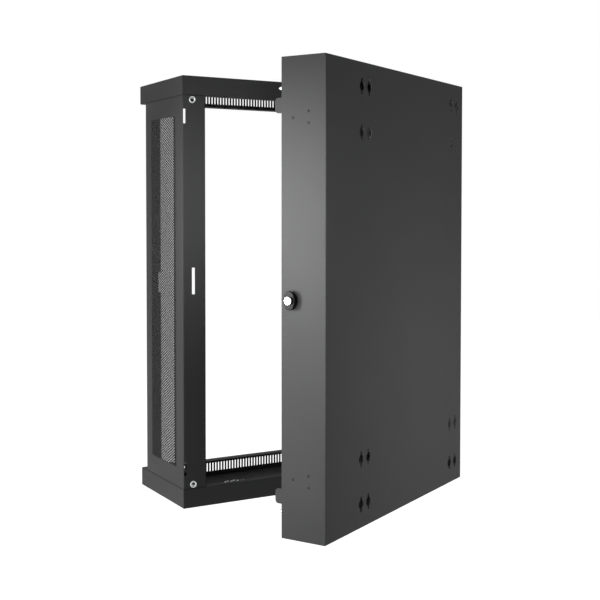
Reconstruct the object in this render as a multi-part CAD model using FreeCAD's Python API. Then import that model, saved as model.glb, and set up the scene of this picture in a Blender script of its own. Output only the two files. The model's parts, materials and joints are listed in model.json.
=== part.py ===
"""Wall mount network cabinet in two hinged sections, one STEP file for each piece.

Frame: +Z up, the wall plane is y = 0 and faces +Y, the cabinet's front faces -Y, and
the origin is on the wall face, level with the main cabinet's middle. Millimetres.
The wall section stands square to the frame. The main cabinet is modelled closed on it,
then swung open about the corner hinges, and the glazed front door is modelled closed,
then swung open too.
"""
import FreeCAD, Part
import math
import os

from FreeCAD import Placement, Rotation, Vector

# Overall size and sheet: the width follows from the 19 inch opening between the rails
HEIGHT = 885.0
RACK_OPENING = 450.0         # clear width between the rails
RAIL_FACE_WIDTH = 22.5
COLUMN_WIDTH = 51.0          # rear flange of a side frame
SHEET = 1.5                  # folded steel sheet
WIDTH = RACK_OPENING + 2 * (RAIL_FACE_WIDTH + SHEET + COLUMN_WIDTH)
FOLD_RADIUS = 2.2            # outside radius of a fold
RUNNING_CLEARANCE = 0.05     # radial, shaft in a bore
FASTENER_CLEARANCE = 0.1     # radial, screw or rivet in its hole

# Wall section
WALL_DEPTH = 95.0
RIM_SIDE = 38.0              # width of the rim flange on the two upright sides
RIM_END = 42.0               # width of the rim flange at top and bottom
CLOSING_GAP = 2.0            # between the rim and the main cabinet's back plane
PAN_LIFT = 5.5               # the wall pan stands this much higher than the main cabinet

# Wall keyholes: four clusters of two by two, clusters on 16 inch stud centres
STUD_PITCH = 406.4
KEYHOLE_PAIR_PITCH = 29.0
KEYHOLE_OUTER_DROP = 45.8    # from the wall pan's top and bottom
KEYHOLE_INNER_DROP = 132.0
KEYHOLE_SHIFT = -49.5        # the clusters' centre line lies towards the hinge side
KEYHOLE_LENGTH = 31.0
KEYHOLE_SLOT = 6.5
KEYHOLE_HEAD_RADIUS = 9.0

# Cable entries in the top and bottom of the wall section
CABLE_ENTRY_WIDTH = 220.0
CABLE_ENTRY_DEPTH = 45.0
CABLE_COVER_MARGIN = 10.0
CABLE_COVER_SHEET = 1.2

# Main cabinet
MAIN_DEPTH = 230.0           # over the caps
DOOR_RECESS = 30.0           # the caps reach this far in front of the sides
CAP_HEIGHT = 40.0
CAP_LIP = 15.0
CAP_FRONT_LIP = 25.0
COLUMN_RETURN = 15.0
FRONT_FLANGE = 28.0          # front flange of a side frame
COLUMN_END_FLANGE = 16.0

# Slotted strip in the front flange of each cap
STRIP_SLOT_WIDTH = 6.0
STRIP_SLOT_HEIGHT = 20.0
STRIP_SLOT_PITCH = 14.4
STRIP_MARGIN = 18.0

# Perforated window in each side frame
WINDOW_FRONT = 168.0         # distance from the main cabinet's back plane
WINDOW_REAR = 36.0
WINDOW_END = 80.0            # distance from the cabinet's top and bottom
WINDOW_PITCH = 25.0
WINDOW_HOLE = 21.0           # across flats

# Fan vents, two in each cap
FAN_OFFSET = 110.0           # from the cabinet's middle
FAN_VENT_RADIUS = 52.0
FAN_VENT_PITCH = 22.0
FAN_VENT_HOLE = 17.0         # across flats
FAN_BOLT_SQUARE = 105.0      # screw spacing of a 120 mm fan
FAN_SCREW_RADIUS = 2.25

# Rack rails, 19 inch
RACK_UNIT = 44.45
RACK_HOLE_MARGIN = 7.55      # hole line from the rail's inner edge
RAIL_END_GAP = 2.45          # between a rail's end and the cap
RACK_HOLE = 9.5              # square holes for cage nuts
RACK_HOLE_OFFSETS = (6.35, 22.225, 38.1)
RAIL_SHEET = 2.0
RAIL_FACE_SETBACK = 170.0    # from the main cabinet's back plane
RAIL_SIDE_FLANGE = 32.0
SUPPORT_HEIGHT = 13.0
SUPPORT_LEG = 12.0
SUPPORT_MARGIN = 2.0         # below the cap's lip
SUPPORT_JOG_GAP = 4.0        # between the front return and the jog
RAIL_BOLT_RADIUS = 3.0
RAIL_BOLT_HEAD = 5.5
RAIL_BOLT_INSET = 8.0

# Corner hinges, lift-off pattern
SWING_OPEN = 28.0            # degrees open as drawn
HINGE_DROP = 112.5           # hinge joint from the cabinet's top and bottom
HINGE_BARREL_RADIUS = 4.5
HINGE_PIN_RADIUS = 2.6
HINGE_HALF = 26.0            # height of one half of a hinge
HINGE_HALF_GAP = 0.4         # each side of the joint between the halves
HINGE_LEAF = 30.0
HINGE_LEAF_SHEET = 1.6

# Guide tabs that steady the closed cabinet at the lock side
TAB_DROP = 82.5              # middle of a tab from the cabinet's top and bottom
TAB_HEIGHT = 28.0
TAB_REACH = 15.0             # past the rim
TAB_CORNER = 6.5
TAB_SHEET = 3.0
TAB_THINNING = 0.5           # clearance to the side frame
TAB_SLOT_WIDTH = 5.5
TAB_SLOT_HEIGHT = 29.5
TAB_BASE_DEPTH = 70.0
TAB_BASE_MARGIN = 8.0        # of the bracket around its rivets
TAB_RIVET_DROP = 112.0       # middle of the rivets from the wall pan's top and bottom
TAB_RIVET_SPREAD = 10.5
RIVET_RADIUS = 2.0
RIVET_HEAD_RADIUS = 3.6
RIVET_HEAD = 1.3
HEAD_TAPER = 0.7             # top of a rivet or screw head to its foot

# Locating pins on the rim and the ring inserts that take them
PIN_INSET = 22.0             # from the side
PIN_DROP = 49.0              # from top and bottom
PIN_RADIUS = 3.0
PIN_REACH = 19.0
PIN_COLLAR_RADIUS = 5.0
PIN_COLLAR = 4.0             # head behind the rim flange
PIN_NOSE = 3.0
RING_OUTER_RADIUS = 7.25
RING_BORE_RADIUS = 3.75
RING_FLANGE = 1.0
RING_BODY_RADIUS = 5.5
RING_BODY = 9.0
BUMPER_RADIUS = 6.0
BUMPER_GAP = 0.3

# Key lock with a winged knob, in the wall section's side and in the door
LOCK_SETBACK = 23.0          # rear lock's axis from the rim
LOCK_LIFT = 4.0              # rear lock's axis above the main cabinet's middle
LOCK_FLANGE_RADIUS = 13.0
LOCK_FLANGE = 2.5
LOCK_BARREL_RADIUS = 9.5
LOCK_BARREL = 16.0           # reach behind the sheet's outer face
LOCK_NUT_FLATS = 24.0
LOCK_NUT = 5.0
SPINDLE_RADIUS = 4.0
PLUG_RADIUS = 7.5
PLUG_REACH = 16.0            # past the sheet's outer face
KEYWAY_WIDTH = 1.6
KEYWAY_LENGTH = 8.0
KNOB_BASE_RADIUS = 10.0
KNOB_BASE = 2.4
KNOB_REACH = 11.0
KNOB_WING_WIDTH = 24.0
KNOB_WING_HEIGHT = 35.0
KNOB_GAP = 0.1               # running gap between knob and flange
CAM_SHEET = 2.5
CAM_INSET = 23.5             # cam's mid plane from the sheet's outer face
CAM_HALF_WIDTH = 5.0
CAM_LENGTH = 42.0
CAM_HOOK = 16.0
CAM_HOOK_WIDTH = 10.0
CAM_NUT_FLATS = 12.0
CAM_NUT = 3.5
CAM_SLOT_WIDTH = 7.0
CAM_SLOT_BELOW = 6.5
CAM_SLOT_ABOVE = 48.0

# Front door
DOOR_OPEN = 105.0            # degrees open as drawn
DOOR_DEPTH = 22.0
DOOR_SIDE_GAP = 3.0
DOOR_END_GAP = 1.5
DOOR_FACE_GAP = 2.0          # behind the caps' front plane
DOOR_STILE = 77.0
DOOR_RAIL = 60.0
DOOR_PIVOT_INSET = 11.0      # from the cabinet's side
DOOR_PIVOT_SETBACK = 12.0    # from the caps' front plane
DOOR_PIN_RADIUS = 3.0
DOOR_PIN_REACH = 3.0         # past the cap's lip
DOOR_BLOCK_HEIGHT = 24.0
DOOR_BLOCK_RADIUS = 7.0
GLASS = 4.0
GLASS_LAP = 6.5
CLIP_SHEET = 1.5
CLIP_FOOT = 13.0             # from the glass's edge
CLIP_GAP = 0.5               # beside the glass's edge
CLIP_LENGTH = 24.0
DOOR_LOCK_INSET = 59.0       # door lock's axis from the cabinet's side
DOOR_CAM_LENGTH = 42.0
DOOR_CAM_CLEARANCE = 2.0     # behind the front column's flange
DOOR_CAM_NOTCH_BELOW = 10.0
DOOR_CAM_NOTCH_ABOVE = 33.0

# Earth studs
STUD_RADIUS = 3.0
STUD_LENGTH = 16.0
STUD_NUT_FLATS = 10.0
STUD_NUT = 5.0

# Worked out from the above
HALF_WIDTH = WIDTH / 2
TOP = HEIGHT / 2
RIM = -WALL_DEPTH
BACK = RIM - CLOSING_GAP                 # main cabinet's back plane, closed
FRONT = BACK - MAIN_DEPTH                # caps' front plane, closed
SIDE_FRONT = FRONT + DOOR_RECESS         # side frames' front plane, closed
CAP_EDGE = TOP - CAP_HEIGHT              # where the caps meet the side frames
INNER = HALF_WIDTH - SHEET
HINGE_RISE = TOP - HINGE_DROP
TAB_RISE = TOP - TAB_DROP
TAB_RIVET_RISE = TOP - TAB_RIVET_DROP
RAIL_HEIGHT = 2 * (CAP_EDGE - RAIL_END_GAP)
RACK_UNITS = int(RAIL_HEIGHT / RACK_UNIT + 0.001)
HINGE_AXIS = Vector(-HALF_WIDTH - HINGE_BARREL_RADIUS, RIM - CLOSING_GAP / 2, 0)
DOOR_AXIS = Vector(-HALF_WIDTH + DOOR_PIVOT_INSET, FRONT + DOOR_PIVOT_SETBACK, 0)
LOCK_Y = RIM + LOCK_SETBACK
RAIL_OUTER = HALF_WIDTH - COLUMN_WIDTH - SHEET   # rail's outer face on its supports
RAIL_FACE = BACK - RAIL_FACE_SETBACK
DOOR_FACE = FRONT + DOOR_FACE_GAP
LOCK_MIDDLE = Vector(HALF_WIDTH, LOCK_Y, LOCK_LIFT)
DOOR_LOCK_MIDDLE = Vector(HALF_WIDTH - DOOR_LOCK_INSET, DOOR_FACE, 0)

X_AXIS = Vector(1, 0, 0)
Y_AXIS = Vector(0, 1, 0)
Z_AXIS = Vector(0, 0, 1)


def block(x_span, y_span, z_span):
    """A box between two values on each axis."""
    size = [abs(span[1] - span[0]) for span in (x_span, y_span, z_span)]
    corner = Vector(min(x_span), min(y_span), min(z_span))
    return Part.makeBox(size[0], size[1], size[2], corner)


def rod(radius, start, direction, length):
    """A cylinder from a point along a direction."""
    return Part.makeCylinder(radius, length, start, direction)


def prism(flats, sides, start, direction, length, turn=0.0):
    """A regular prism measured across its flats, standing on a point."""
    radius = flats / 2 / math.cos(math.pi / sides)
    angles = [turn + 2 * math.pi * step / sides for step in range(sides)]
    corners = [Vector(radius * math.cos(a), radius * math.sin(a), 0) for a in angles]
    face = Part.Face(Part.makePolygon(corners + corners[:1]))
    solid = face.extrude(Vector(0, 0, length))
    solid.Placement = Placement(start, Rotation(Z_AXIS, direction))
    return solid


def extruded(points, height):
    """A prism on an outline in the XY plane, raised along +Z."""
    return Part.Face(Part.makePolygon(points + points[:1])).extrude(Vector(0, 0, height))


def round_edges(solid, radius, wanted):
    """Fillet the edges whose middle point passes a test."""
    edges = [edge for edge in solid.Edges if wanted(edge.CenterOfMass)]
    return solid.makeFillet(radius, edges) if edges else solid


def mirrored(shape, normal):
    """The shape's mirror image in the plane through the origin."""
    return shape.mirror(Vector(0, 0, 0), normal)


def both_ends(shape):
    """The shape and its image in the mid-height plane."""
    return [shape, mirrored(shape, Z_AXIS)]


def swing(shape):
    """Turn a closed piece of the main cabinet to where it stands open."""
    moved = shape.copy()
    moved.rotate(HINGE_AXIS, Z_AXIS, -SWING_OPEN)
    return moved


def swing_door(shape):
    """Turn a closed piece of the door open, then take it along with the cabinet."""
    moved = shape.copy()
    moved.rotate(DOOR_AXIS, Z_AXIS, -DOOR_OPEN)
    return swing(moved)


def save(name, solids):
    """Write one node: a solid, or a group of separate solids."""
    shape = solids[0] if len(solids) == 1 else Part.makeCompound(solids)
    shape.exportStep(os.path.join("parts", name + ".step"))


def lifted(shape):
    """Raise a piece of the wall section from the main cabinet's height to the pan's."""
    moved = shape.copy()
    moved.translate(Vector(0, 0, PAN_LIFT))
    return moved


def rivet(head_face, inward, grip):
    """A rivet with a low head on each side of the sheets it holds."""
    head = Part.makeCone(RIVET_HEAD_RADIUS, RIVET_HEAD_RADIUS * HEAD_TAPER, RIVET_HEAD, head_face, -inward)
    shank = rod(RIVET_RADIUS, head_face, inward, grip)
    tail = rod(RIVET_HEAD_RADIUS, head_face + inward * grip, inward, RIVET_HEAD)
    return head.fuse([shank, tail])


def screw(head_face, inward, radius, head_radius, length):
    """A pan head screw lying with its head against a face."""
    head = Part.makeCone(head_radius, head_radius * HEAD_TAPER, radius, head_face, -inward)
    return head.fuse(rod(radius, head_face, inward, length))


# ---------------------------------------------------------------- wall section

def keyhole_places():
    """Centres of the sixteen wall keyholes, as x and z."""
    pair = (-KEYHOLE_PAIR_PITCH / 2, KEYHOLE_PAIR_PITCH / 2)
    columns = [KEYHOLE_SHIFT + side * STUD_PITCH / 2 + step for side in (-1, 1) for step in pair]
    rows = [end * (TOP - drop) for end in (-1, 1) for drop in (KEYHOLE_OUTER_DROP, KEYHOLE_INNER_DROP)]
    return [(x, z) for x in columns for z in rows]


def keyhole_cutter(x, z):
    """A double ended keyhole: a round head hole with a slot above and below."""
    reach = KEYHOLE_LENGTH / 2 - KEYHOLE_SLOT / 2
    depth = 3 * SHEET
    start = Vector(x, -2 * SHEET, z)
    slot = block((x - KEYHOLE_SLOT / 2, x + KEYHOLE_SLOT / 2), (start.y, start.y + depth),
                 (z - reach, z + reach))
    ends = [rod(KEYHOLE_SLOT / 2, start + Z_AXIS * step, Y_AXIS, depth) for step in (-reach, reach)]
    return rod(KEYHOLE_HEAD_RADIUS, start, Y_AXIS, depth).fuse([slot] + ends)


def tab_rivet_places(end):
    """Rivet centres of one guide tab bracket, in a triangle, as y and z."""
    middle = end * TAB_RIVET_RISE + PAN_LIFT
    near = RIM + 25.0
    far = RIM + TAB_BASE_DEPTH - 12.0
    return [(far, middle - TAB_RIVET_SPREAD), (near, middle), (far, middle + TAB_RIVET_SPREAD)]


def hinge_rivet_places(start, direction, centre):
    """Rivet centres of one hinge leaf, as y and z."""
    middle = HINGE_HALF / 2
    return [(start + direction * step, centre + middle) for step in (12.0, 23.0)]


def wall_hinge_rivets_yz():
    """Rivet centres of both leaves on the wall section."""
    places = []
    for end in (-1, 1):
        places += hinge_rivet_places(HINGE_AXIS.y, 1, end * HINGE_RISE - HINGE_HALF)
    return places


def main_hinge_rivets_yz():
    """Rivet centres of both leaves on the main cabinet."""
    places = []
    for end in (-1, 1):
        places += hinge_rivet_places(HINGE_AXIS.y, -1, end * HINGE_RISE)
    return places


def cable_screw_places():
    """Screw centres of a cable entry cover, as x and y."""
    reach = CABLE_ENTRY_WIDTH / 2 + CABLE_COVER_MARGIN / 2
    side = CABLE_ENTRY_DEPTH / 2 - CABLE_COVER_MARGIN
    middle = -WALL_DEPTH / 2
    return [(x, middle + y) for x in (-reach, reach) for y in (-side, side)]


def wall_pan():
    """The folded pan: wall plate, four walls and a rim flange."""
    def back_fold(point):
        return abs(point.y) < 0.01 and (abs(abs(point.x) - HALF_WIDTH) < 0.01
                                        or abs(abs(point.z) - TOP) < 0.01)
    outer = block((-HALF_WIDTH, HALF_WIDTH), (RIM, 0), (-TOP, TOP))
    outer = round_edges(outer, FOLD_RADIUS, back_fold)
    inner = block((-INNER, INNER), (RIM + SHEET, -SHEET), (-TOP + SHEET, TOP - SHEET))
    mouth_x = HALF_WIDTH - RIM_SIDE
    mouth_z = TOP - RIM_END
    cutters = [inner, block((-mouth_x, mouth_x), (RIM - 1, RIM + 2 * SHEET), (-mouth_z, mouth_z))]
    cutters += [keyhole_cutter(x, z) for x, z in keyhole_places()]
    for end in (-1, 1):
        entry_x = CABLE_ENTRY_WIDTH / 2
        entry_y = CABLE_ENTRY_DEPTH / 2
        cutters.append(block((-entry_x, entry_x), (-WALL_DEPTH / 2 - entry_y, -WALL_DEPTH / 2 + entry_y),
                             (end * (TOP - 2 * SHEET), end * (TOP + 1))))
        for x, y in cable_screw_places():
            start = Vector(x, y, end * (TOP + 1))
            cutters.append(rod(RIVET_RADIUS + FASTENER_CLEARANCE, start, Z_AXIS * -end, 3 * SHEET))
    return lifted(outer.cut(cutters)).cut(fitting_cutters())


def fitting_cutters():
    """Holes of the wall pan that line up with the main cabinet: lock, tabs, pins, hinges."""
    wall = 3 * SHEET
    outside = Vector(HALF_WIDTH + SHEET, 0, 0)
    rivet_hole = RIVET_RADIUS + FASTENER_CLEARANCE
    cutters = [rod(LOCK_BARREL_RADIUS + FASTENER_CLEARANCE, LOCK_MIDDLE + X_AXIS * SHEET, -X_AXIS, wall)]
    for end in (-1, 1):
        cutters += [rod(rivet_hole, Vector(outside.x, y, z), -X_AXIS, wall) for y, z in tab_rivet_places(end)]
        pin_hole = Vector(HALF_WIDTH - PIN_INSET, RIM - 1, end * (TOP - PIN_DROP))
        cutters.append(rod(PIN_RADIUS + FASTENER_CLEARANCE, pin_hole, Y_AXIS, wall))
        cutters.append(guide_tab_rim_cut(end))
    cutters += [rod(rivet_hole, Vector(-outside.x, y, z), X_AXIS, wall) for y, z in wall_hinge_rivets_yz()]
    cam_x = HALF_WIDTH - CAM_INSET
    cutters.append(block((cam_x - CAM_SLOT_WIDTH / 2 - 1, cam_x + CAM_SLOT_WIDTH / 2 + 1),
                         (RIM - 1, RIM + 2 * SHEET),
                         (LOCK_LIFT - CAM_SLOT_BELOW - 1, LOCK_LIFT + CAM_SLOT_ABOVE + 1)))
    return cutters


def cable_cover(end):
    """A plate screwed over a cable entry from inside the wall section."""
    reach_x = CABLE_ENTRY_WIDTH / 2 + CABLE_COVER_MARGIN
    reach_y = CABLE_ENTRY_DEPTH / 2 + CABLE_COVER_MARGIN / 2
    face = TOP - SHEET
    plate = block((-reach_x, reach_x), (-WALL_DEPTH / 2 - reach_y, -WALL_DEPTH / 2 + reach_y),
                  (end * (face - CABLE_COVER_SHEET), end * face))
    hole = RIVET_RADIUS + FASTENER_CLEARANCE
    holes = [rod(hole, Vector(x, y, end * TOP), Z_AXIS * -end, 4 * SHEET)
             for x, y in cable_screw_places()]
    return plate.cut(holes)


def cable_cover_screws():
    """Screws of both cable entry covers."""
    return [screw(Vector(x, y, end * TOP), Z_AXIS * -end, RIVET_RADIUS, RIVET_HEAD_RADIUS, 6.0)
            for end in (-1, 1) for x, y in cable_screw_places()]


def guide_tab(end):
    """A bracket inside the lock side wall, with a rounded tab past the rim."""
    face = HALF_WIDTH - SHEET
    middle = end * TAB_RISE
    half = TAB_HEIGHT / 2
    heights = [z for y, z in tab_rivet_places(end)] + [middle + half - TAB_BASE_MARGIN,
                                                       middle - half + TAB_BASE_MARGIN]
    base = block((face - TAB_SHEET, face), (RIM + SHEET, RIM + TAB_BASE_DEPTH),
                 (min(heights) - TAB_BASE_MARGIN, max(heights) + TAB_BASE_MARGIN))
    base = round_edges(base, TAB_BASE_MARGIN, lambda p: abs(p.y - RIM - TAB_BASE_DEPTH) < 0.01
                       and abs(p.x - face + TAB_SHEET / 2) < 0.01)
    tab = block((face - TAB_SHEET, face - TAB_THINNING), (RIM - TAB_REACH, RIM + SHEET),
                (middle - half, middle + half))
    tab = round_edges(tab, TAB_CORNER, lambda p: abs(p.y - RIM + TAB_REACH) < 0.01
                      and abs(abs(p.z - middle) - half) < 0.01)
    holes = [rod(RIVET_RADIUS + FASTENER_CLEARANCE, Vector(HALF_WIDTH, y, z), -X_AXIS, 4 * TAB_SHEET)
             for y, z in tab_rivet_places(end)]
    return base.fuse(tab).removeSplitter().cut(holes)


def guide_tab_rim_cut(end):
    """The notch that lets a guide tab out through the rim flange."""
    middle = end * TAB_RISE
    half = TAB_HEIGHT / 2 + 0.5
    face = HALF_WIDTH - SHEET
    return block((face - TAB_SHEET - 0.5, face), (RIM - 1, RIM + 2 * SHEET), (middle - half, middle + half))


def guide_tab_rivets():
    """Rivets of both guide tab brackets."""
    return [rivet(Vector(HALF_WIDTH, y, z), -X_AXIS, SHEET + TAB_SHEET)
            for end in (-1, 1) for y, z in tab_rivet_places(end)]


def locating_pins():
    """Pins on the rim that enter the ring inserts as the cabinet closes."""
    pins = []
    for end in (-1, 1):
        base = Vector(HALF_WIDTH - PIN_INSET, RIM + SHEET, end * (TOP - PIN_DROP))
        straight = SHEET + PIN_REACH - PIN_NOSE
        shank = rod(PIN_RADIUS, base, -Y_AXIS, straight)
        nose = Part.makeCone(PIN_RADIUS, PIN_RADIUS - PIN_NOSE / 2, PIN_NOSE, base - Y_AXIS * straight, -Y_AXIS)
        pins.append(shank.fuse([nose, rod(PIN_COLLAR_RADIUS, base, Y_AXIS, PIN_COLLAR)]))
    return pins


def rim_bumpers():
    """Rubber pads on the rim, one near each corner."""
    length = CLOSING_GAP - BUMPER_GAP
    x = HALF_WIDTH - RIM_SIDE + 9.0
    z = TOP - RIM_END / 2 - PAN_LIFT
    return [rod(BUMPER_RADIUS, Vector(side * x, RIM, end * z), -Y_AXIS, length)
            for side in (-1, 1) for end in (-1, 1)]


def hinge_half(centre, upper, direction):
    """One half of a lift-off hinge: a barrel with a leaf along the side."""
    low = centre + HINGE_HALF_GAP if upper else centre - HINGE_HALF
    height = HINGE_HALF - HINGE_HALF_GAP
    barrel = rod(HINGE_BARREL_RADIUS, Vector(HINGE_AXIS.x, HINGE_AXIS.y, low), Z_AXIS, height)
    leaf = block((-HALF_WIDTH - HINGE_LEAF_SHEET, -HALF_WIDTH),
                 (HINGE_AXIS.y, HINGE_AXIS.y + direction * HINGE_LEAF), (low, low + height))
    clearance = RUNNING_CLEARANCE if upper else FASTENER_CLEARANCE
    bore = rod(HINGE_PIN_RADIUS + clearance, Vector(HINGE_AXIS.x, HINGE_AXIS.y, low - 1), Z_AXIS, height + 2)
    return barrel.fuse(leaf).cut(bore)


def wall_hinge_leaves():
    """The lower halves of the hinges, on the wall section."""
    halves = []
    for end in (-1, 1):
        centre = end * HINGE_RISE
        holes = [rod(RIVET_RADIUS + FASTENER_CLEARANCE, Vector(-HALF_WIDTH - 9, y, z), X_AXIS, 20)
                 for y, z in hinge_rivet_places(HINGE_AXIS.y, 1, centre - HINGE_HALF)]
        halves.append(hinge_half(centre, False, 1).cut(holes))
    return halves


def hinge_pins():
    """Hinge pins, held in the lower halves, with a head under each barrel."""
    pins = []
    for end in (-1, 1):
        foot = Vector(HINGE_AXIS.x, HINGE_AXIS.y, end * HINGE_RISE - HINGE_HALF)
        pin = rod(HINGE_PIN_RADIUS, foot, Z_AXIS, 2 * HINGE_HALF - 1.0)
        head = rod(HINGE_BARREL_RADIUS - 0.5, foot, -Z_AXIS, 1.5)
        pins.append(pin.fuse(head))
    return pins


def wall_hinge_rivets():
    """Rivets of the leaves on the wall section."""
    face = -HALF_WIDTH - HINGE_LEAF_SHEET
    return [rivet(Vector(face, y, z), X_AXIS, SHEET + HINGE_LEAF_SHEET) for y, z in wall_hinge_rivets_yz()]


def earth_stud(foot, up):
    """A threaded stud with a nut, standing on a sheet."""
    stud = rod(STUD_RADIUS, foot, up, STUD_LENGTH)
    nut = prism(STUD_NUT_FLATS, 6, foot, up, STUD_NUT)
    return stud.fuse(nut)


# ---------------------------------------------------------------- locks
# Each lock is modelled about the +Z axis with its sheet's outer face at z = 0, its
# cam pointing along +Y when unlocked, then placed on the cabinet.

def lock_housing():
    """The fixed housing: a flange outside and a barrel through the sheet."""
    flange = rod(LOCK_FLANGE_RADIUS, Vector(0, 0, 0), Z_AXIS, LOCK_FLANGE)
    flange = round_edges(flange, LOCK_FLANGE / 3, lambda p: p.z > LOCK_FLANGE - 0.1)
    barrel = rod(LOCK_BARREL_RADIUS, Vector(0, 0, 0), -Z_AXIS, LOCK_BARREL)
    bore = rod(SPINDLE_RADIUS + RUNNING_CLEARANCE, Vector(0, 0, -LOCK_BARREL - 1), Z_AXIS,
               LOCK_BARREL + LOCK_FLANGE + 2)
    return flange.fuse(barrel).cut(bore)


def lock_nut():
    """The nut that clamps the housing to the sheet."""
    nut = prism(LOCK_NUT_FLATS, 6, Vector(0, 0, -SHEET), -Z_AXIS, LOCK_NUT)
    return nut.cut(rod(LOCK_BARREL_RADIUS + FASTENER_CLEARANCE, Vector(0, 0, 1), -Z_AXIS, 4 * LOCK_NUT))


def lock_plug(spindle_end):
    """The key plug with its keyway, and the spindle that carries the cam."""
    base = LOCK_FLANGE + KNOB_GAP
    plug = rod(PLUG_RADIUS, Vector(0, 0, base), Z_AXIS, PLUG_REACH - base)
    plug = round_edges(plug, 0.8, lambda p: p.z > PLUG_REACH - 0.1)
    keyway = block((-KEYWAY_WIDTH / 2, KEYWAY_WIDTH / 2), (-KEYWAY_LENGTH / 2, KEYWAY_LENGTH / 2),
                   (PLUG_REACH - 5.0, PLUG_REACH + 1))
    spindle = rod(SPINDLE_RADIUS, Vector(0, 0, base), -Z_AXIS, base + spindle_end)
    return plug.fuse(spindle).cut(keyway)


def lock_knob():
    """The winged grip round the plug: a round base and an oval wing."""
    base_low = LOCK_FLANGE + KNOB_GAP
    base = rod(KNOB_BASE_RADIUS, Vector(0, 0, base_low), Z_AXIS, KNOB_BASE)
    half_width = KNOB_WING_WIDTH / 2
    half_height = KNOB_WING_HEIGHT / 2
    tip = half_width * 0.55
    side = Vector(half_width, 0, 0)
    shoulder = Vector(tip, half_height - 2.0, 0)
    crown = Vector(0, half_height, 0)
    flip_x = Vector(-1, 1, 1)
    def reflect(point, across, over):
        return Vector(point.x * across, point.y * over, 0)
    arcs = [
        Part.Arc(reflect(shoulder, 1, -1), side, shoulder),
        Part.Arc(shoulder, crown, reflect(shoulder, flip_x.x, 1)),
        Part.Arc(reflect(shoulder, -1, 1), reflect(side, -1, 1), reflect(shoulder, -1, -1)),
        Part.Arc(reflect(shoulder, -1, -1), reflect(crown, 1, -1), reflect(shoulder, 1, -1)),
    ]
    outline = Part.Wire([arc.toShape() for arc in arcs])
    low = base_low + KNOB_BASE
    wing = Part.Face(outline).extrude(Vector(0, 0, KNOB_REACH - low))
    wing.translate(Vector(0, 0, low))
    wing = round_edges(wing, 1.5, lambda p: p.z > KNOB_REACH - 0.1)
    return base.fuse(wing).cut(rod(PLUG_RADIUS + FASTENER_CLEARANCE, Vector(0, 0, 0), Z_AXIS, 2 * KNOB_REACH))


def lock_cam(mid_plane, length, hook):
    """The cam plate; a hook on its end leads as it turns towards -X."""
    low = -mid_plane - CAM_SHEET / 2
    start = Vector(0, 0, low)
    heel = rod(SPINDLE_RADIUS + 3.0, start, Z_AXIS, CAM_SHEET)
    arm = block((-CAM_HALF_WIDTH, CAM_HALF_WIDTH), (0, length), (low, low + CAM_SHEET))
    pieces = [arm]
    if hook:
        pieces.append(block((-hook, CAM_HALF_WIDTH), (length - CAM_HOOK_WIDTH, length), (low, low + CAM_SHEET)))
    hole = rod(SPINDLE_RADIUS + FASTENER_CLEARANCE, start - Z_AXIS, Z_AXIS, CAM_SHEET + 2)
    return heel.fuse(pieces).removeSplitter().cut(hole)


def cam_nut(mid_plane):
    """The nut that holds the cam on its spindle."""
    start = Vector(0, 0, -mid_plane - CAM_SHEET / 2)
    nut = prism(CAM_NUT_FLATS, 6, start, -Z_AXIS, CAM_NUT)
    return nut.cut(rod(SPINDLE_RADIUS + FASTENER_CLEARANCE, start + Z_AXIS, -Z_AXIS, CAM_NUT + 2))


def on_side(shape):
    """Place a lock's piece on the lock side wall: +Z to +X and +Y to +Z."""
    moved = shape.copy()
    moved.Placement = Placement(LOCK_MIDDLE, Rotation(Y_AXIS, Z_AXIS, X_AXIS, "ZXY"))
    return moved


def on_door(shape):
    """Place a lock's piece on the closed door: +Z to -Y and +Y to +Z."""
    moved = shape.copy()
    moved.Placement = Placement(DOOR_LOCK_MIDDLE, Rotation(X_AXIS, Z_AXIS, -Y_AXIS, "ZXY"))
    return moved


# ---------------------------------------------------------------- main cabinet

def hex_field(x_span, y_span, pitch, flats, wanted):
    """Centres of a staggered pattern of holes between two spans, kept by a test."""
    row_pitch = pitch * math.sqrt(3) / 2
    rows = int((y_span[1] - y_span[0] - flats) // row_pitch) + 1
    columns = int((x_span[1] - x_span[0] - flats - pitch / 2) // pitch) + 1
    middle_x = (x_span[0] + x_span[1]) / 2
    middle_y = (y_span[0] + y_span[1]) / 2
    places = []
    for row in range(rows):
        shift = pitch / 4 if row % 2 else -pitch / 4
        y = middle_y + (row - (rows - 1) / 2) * row_pitch
        for column in range(columns):
            x = middle_x + (column - (columns - 1) / 2) * pitch + shift
            if wanted(x, y):
                places.append((x, y))
    return places


def fan_centres():
    """Middles of the two fan places in a cap, as x and y."""
    middle = (BACK + FRONT) / 2
    return [(-FAN_OFFSET, middle), (FAN_OFFSET, middle)]


def cap_screw_places():
    """Screws between a cap's lip and the side frame's end flange, as x and y."""
    x = HALF_WIDTH - COLUMN_END_FLANGE / 2 - SHEET
    return [(side * x, y) for side in (-1, 1) for y in (BACK - 40.0, SIDE_FRONT + 40.0)]


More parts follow.
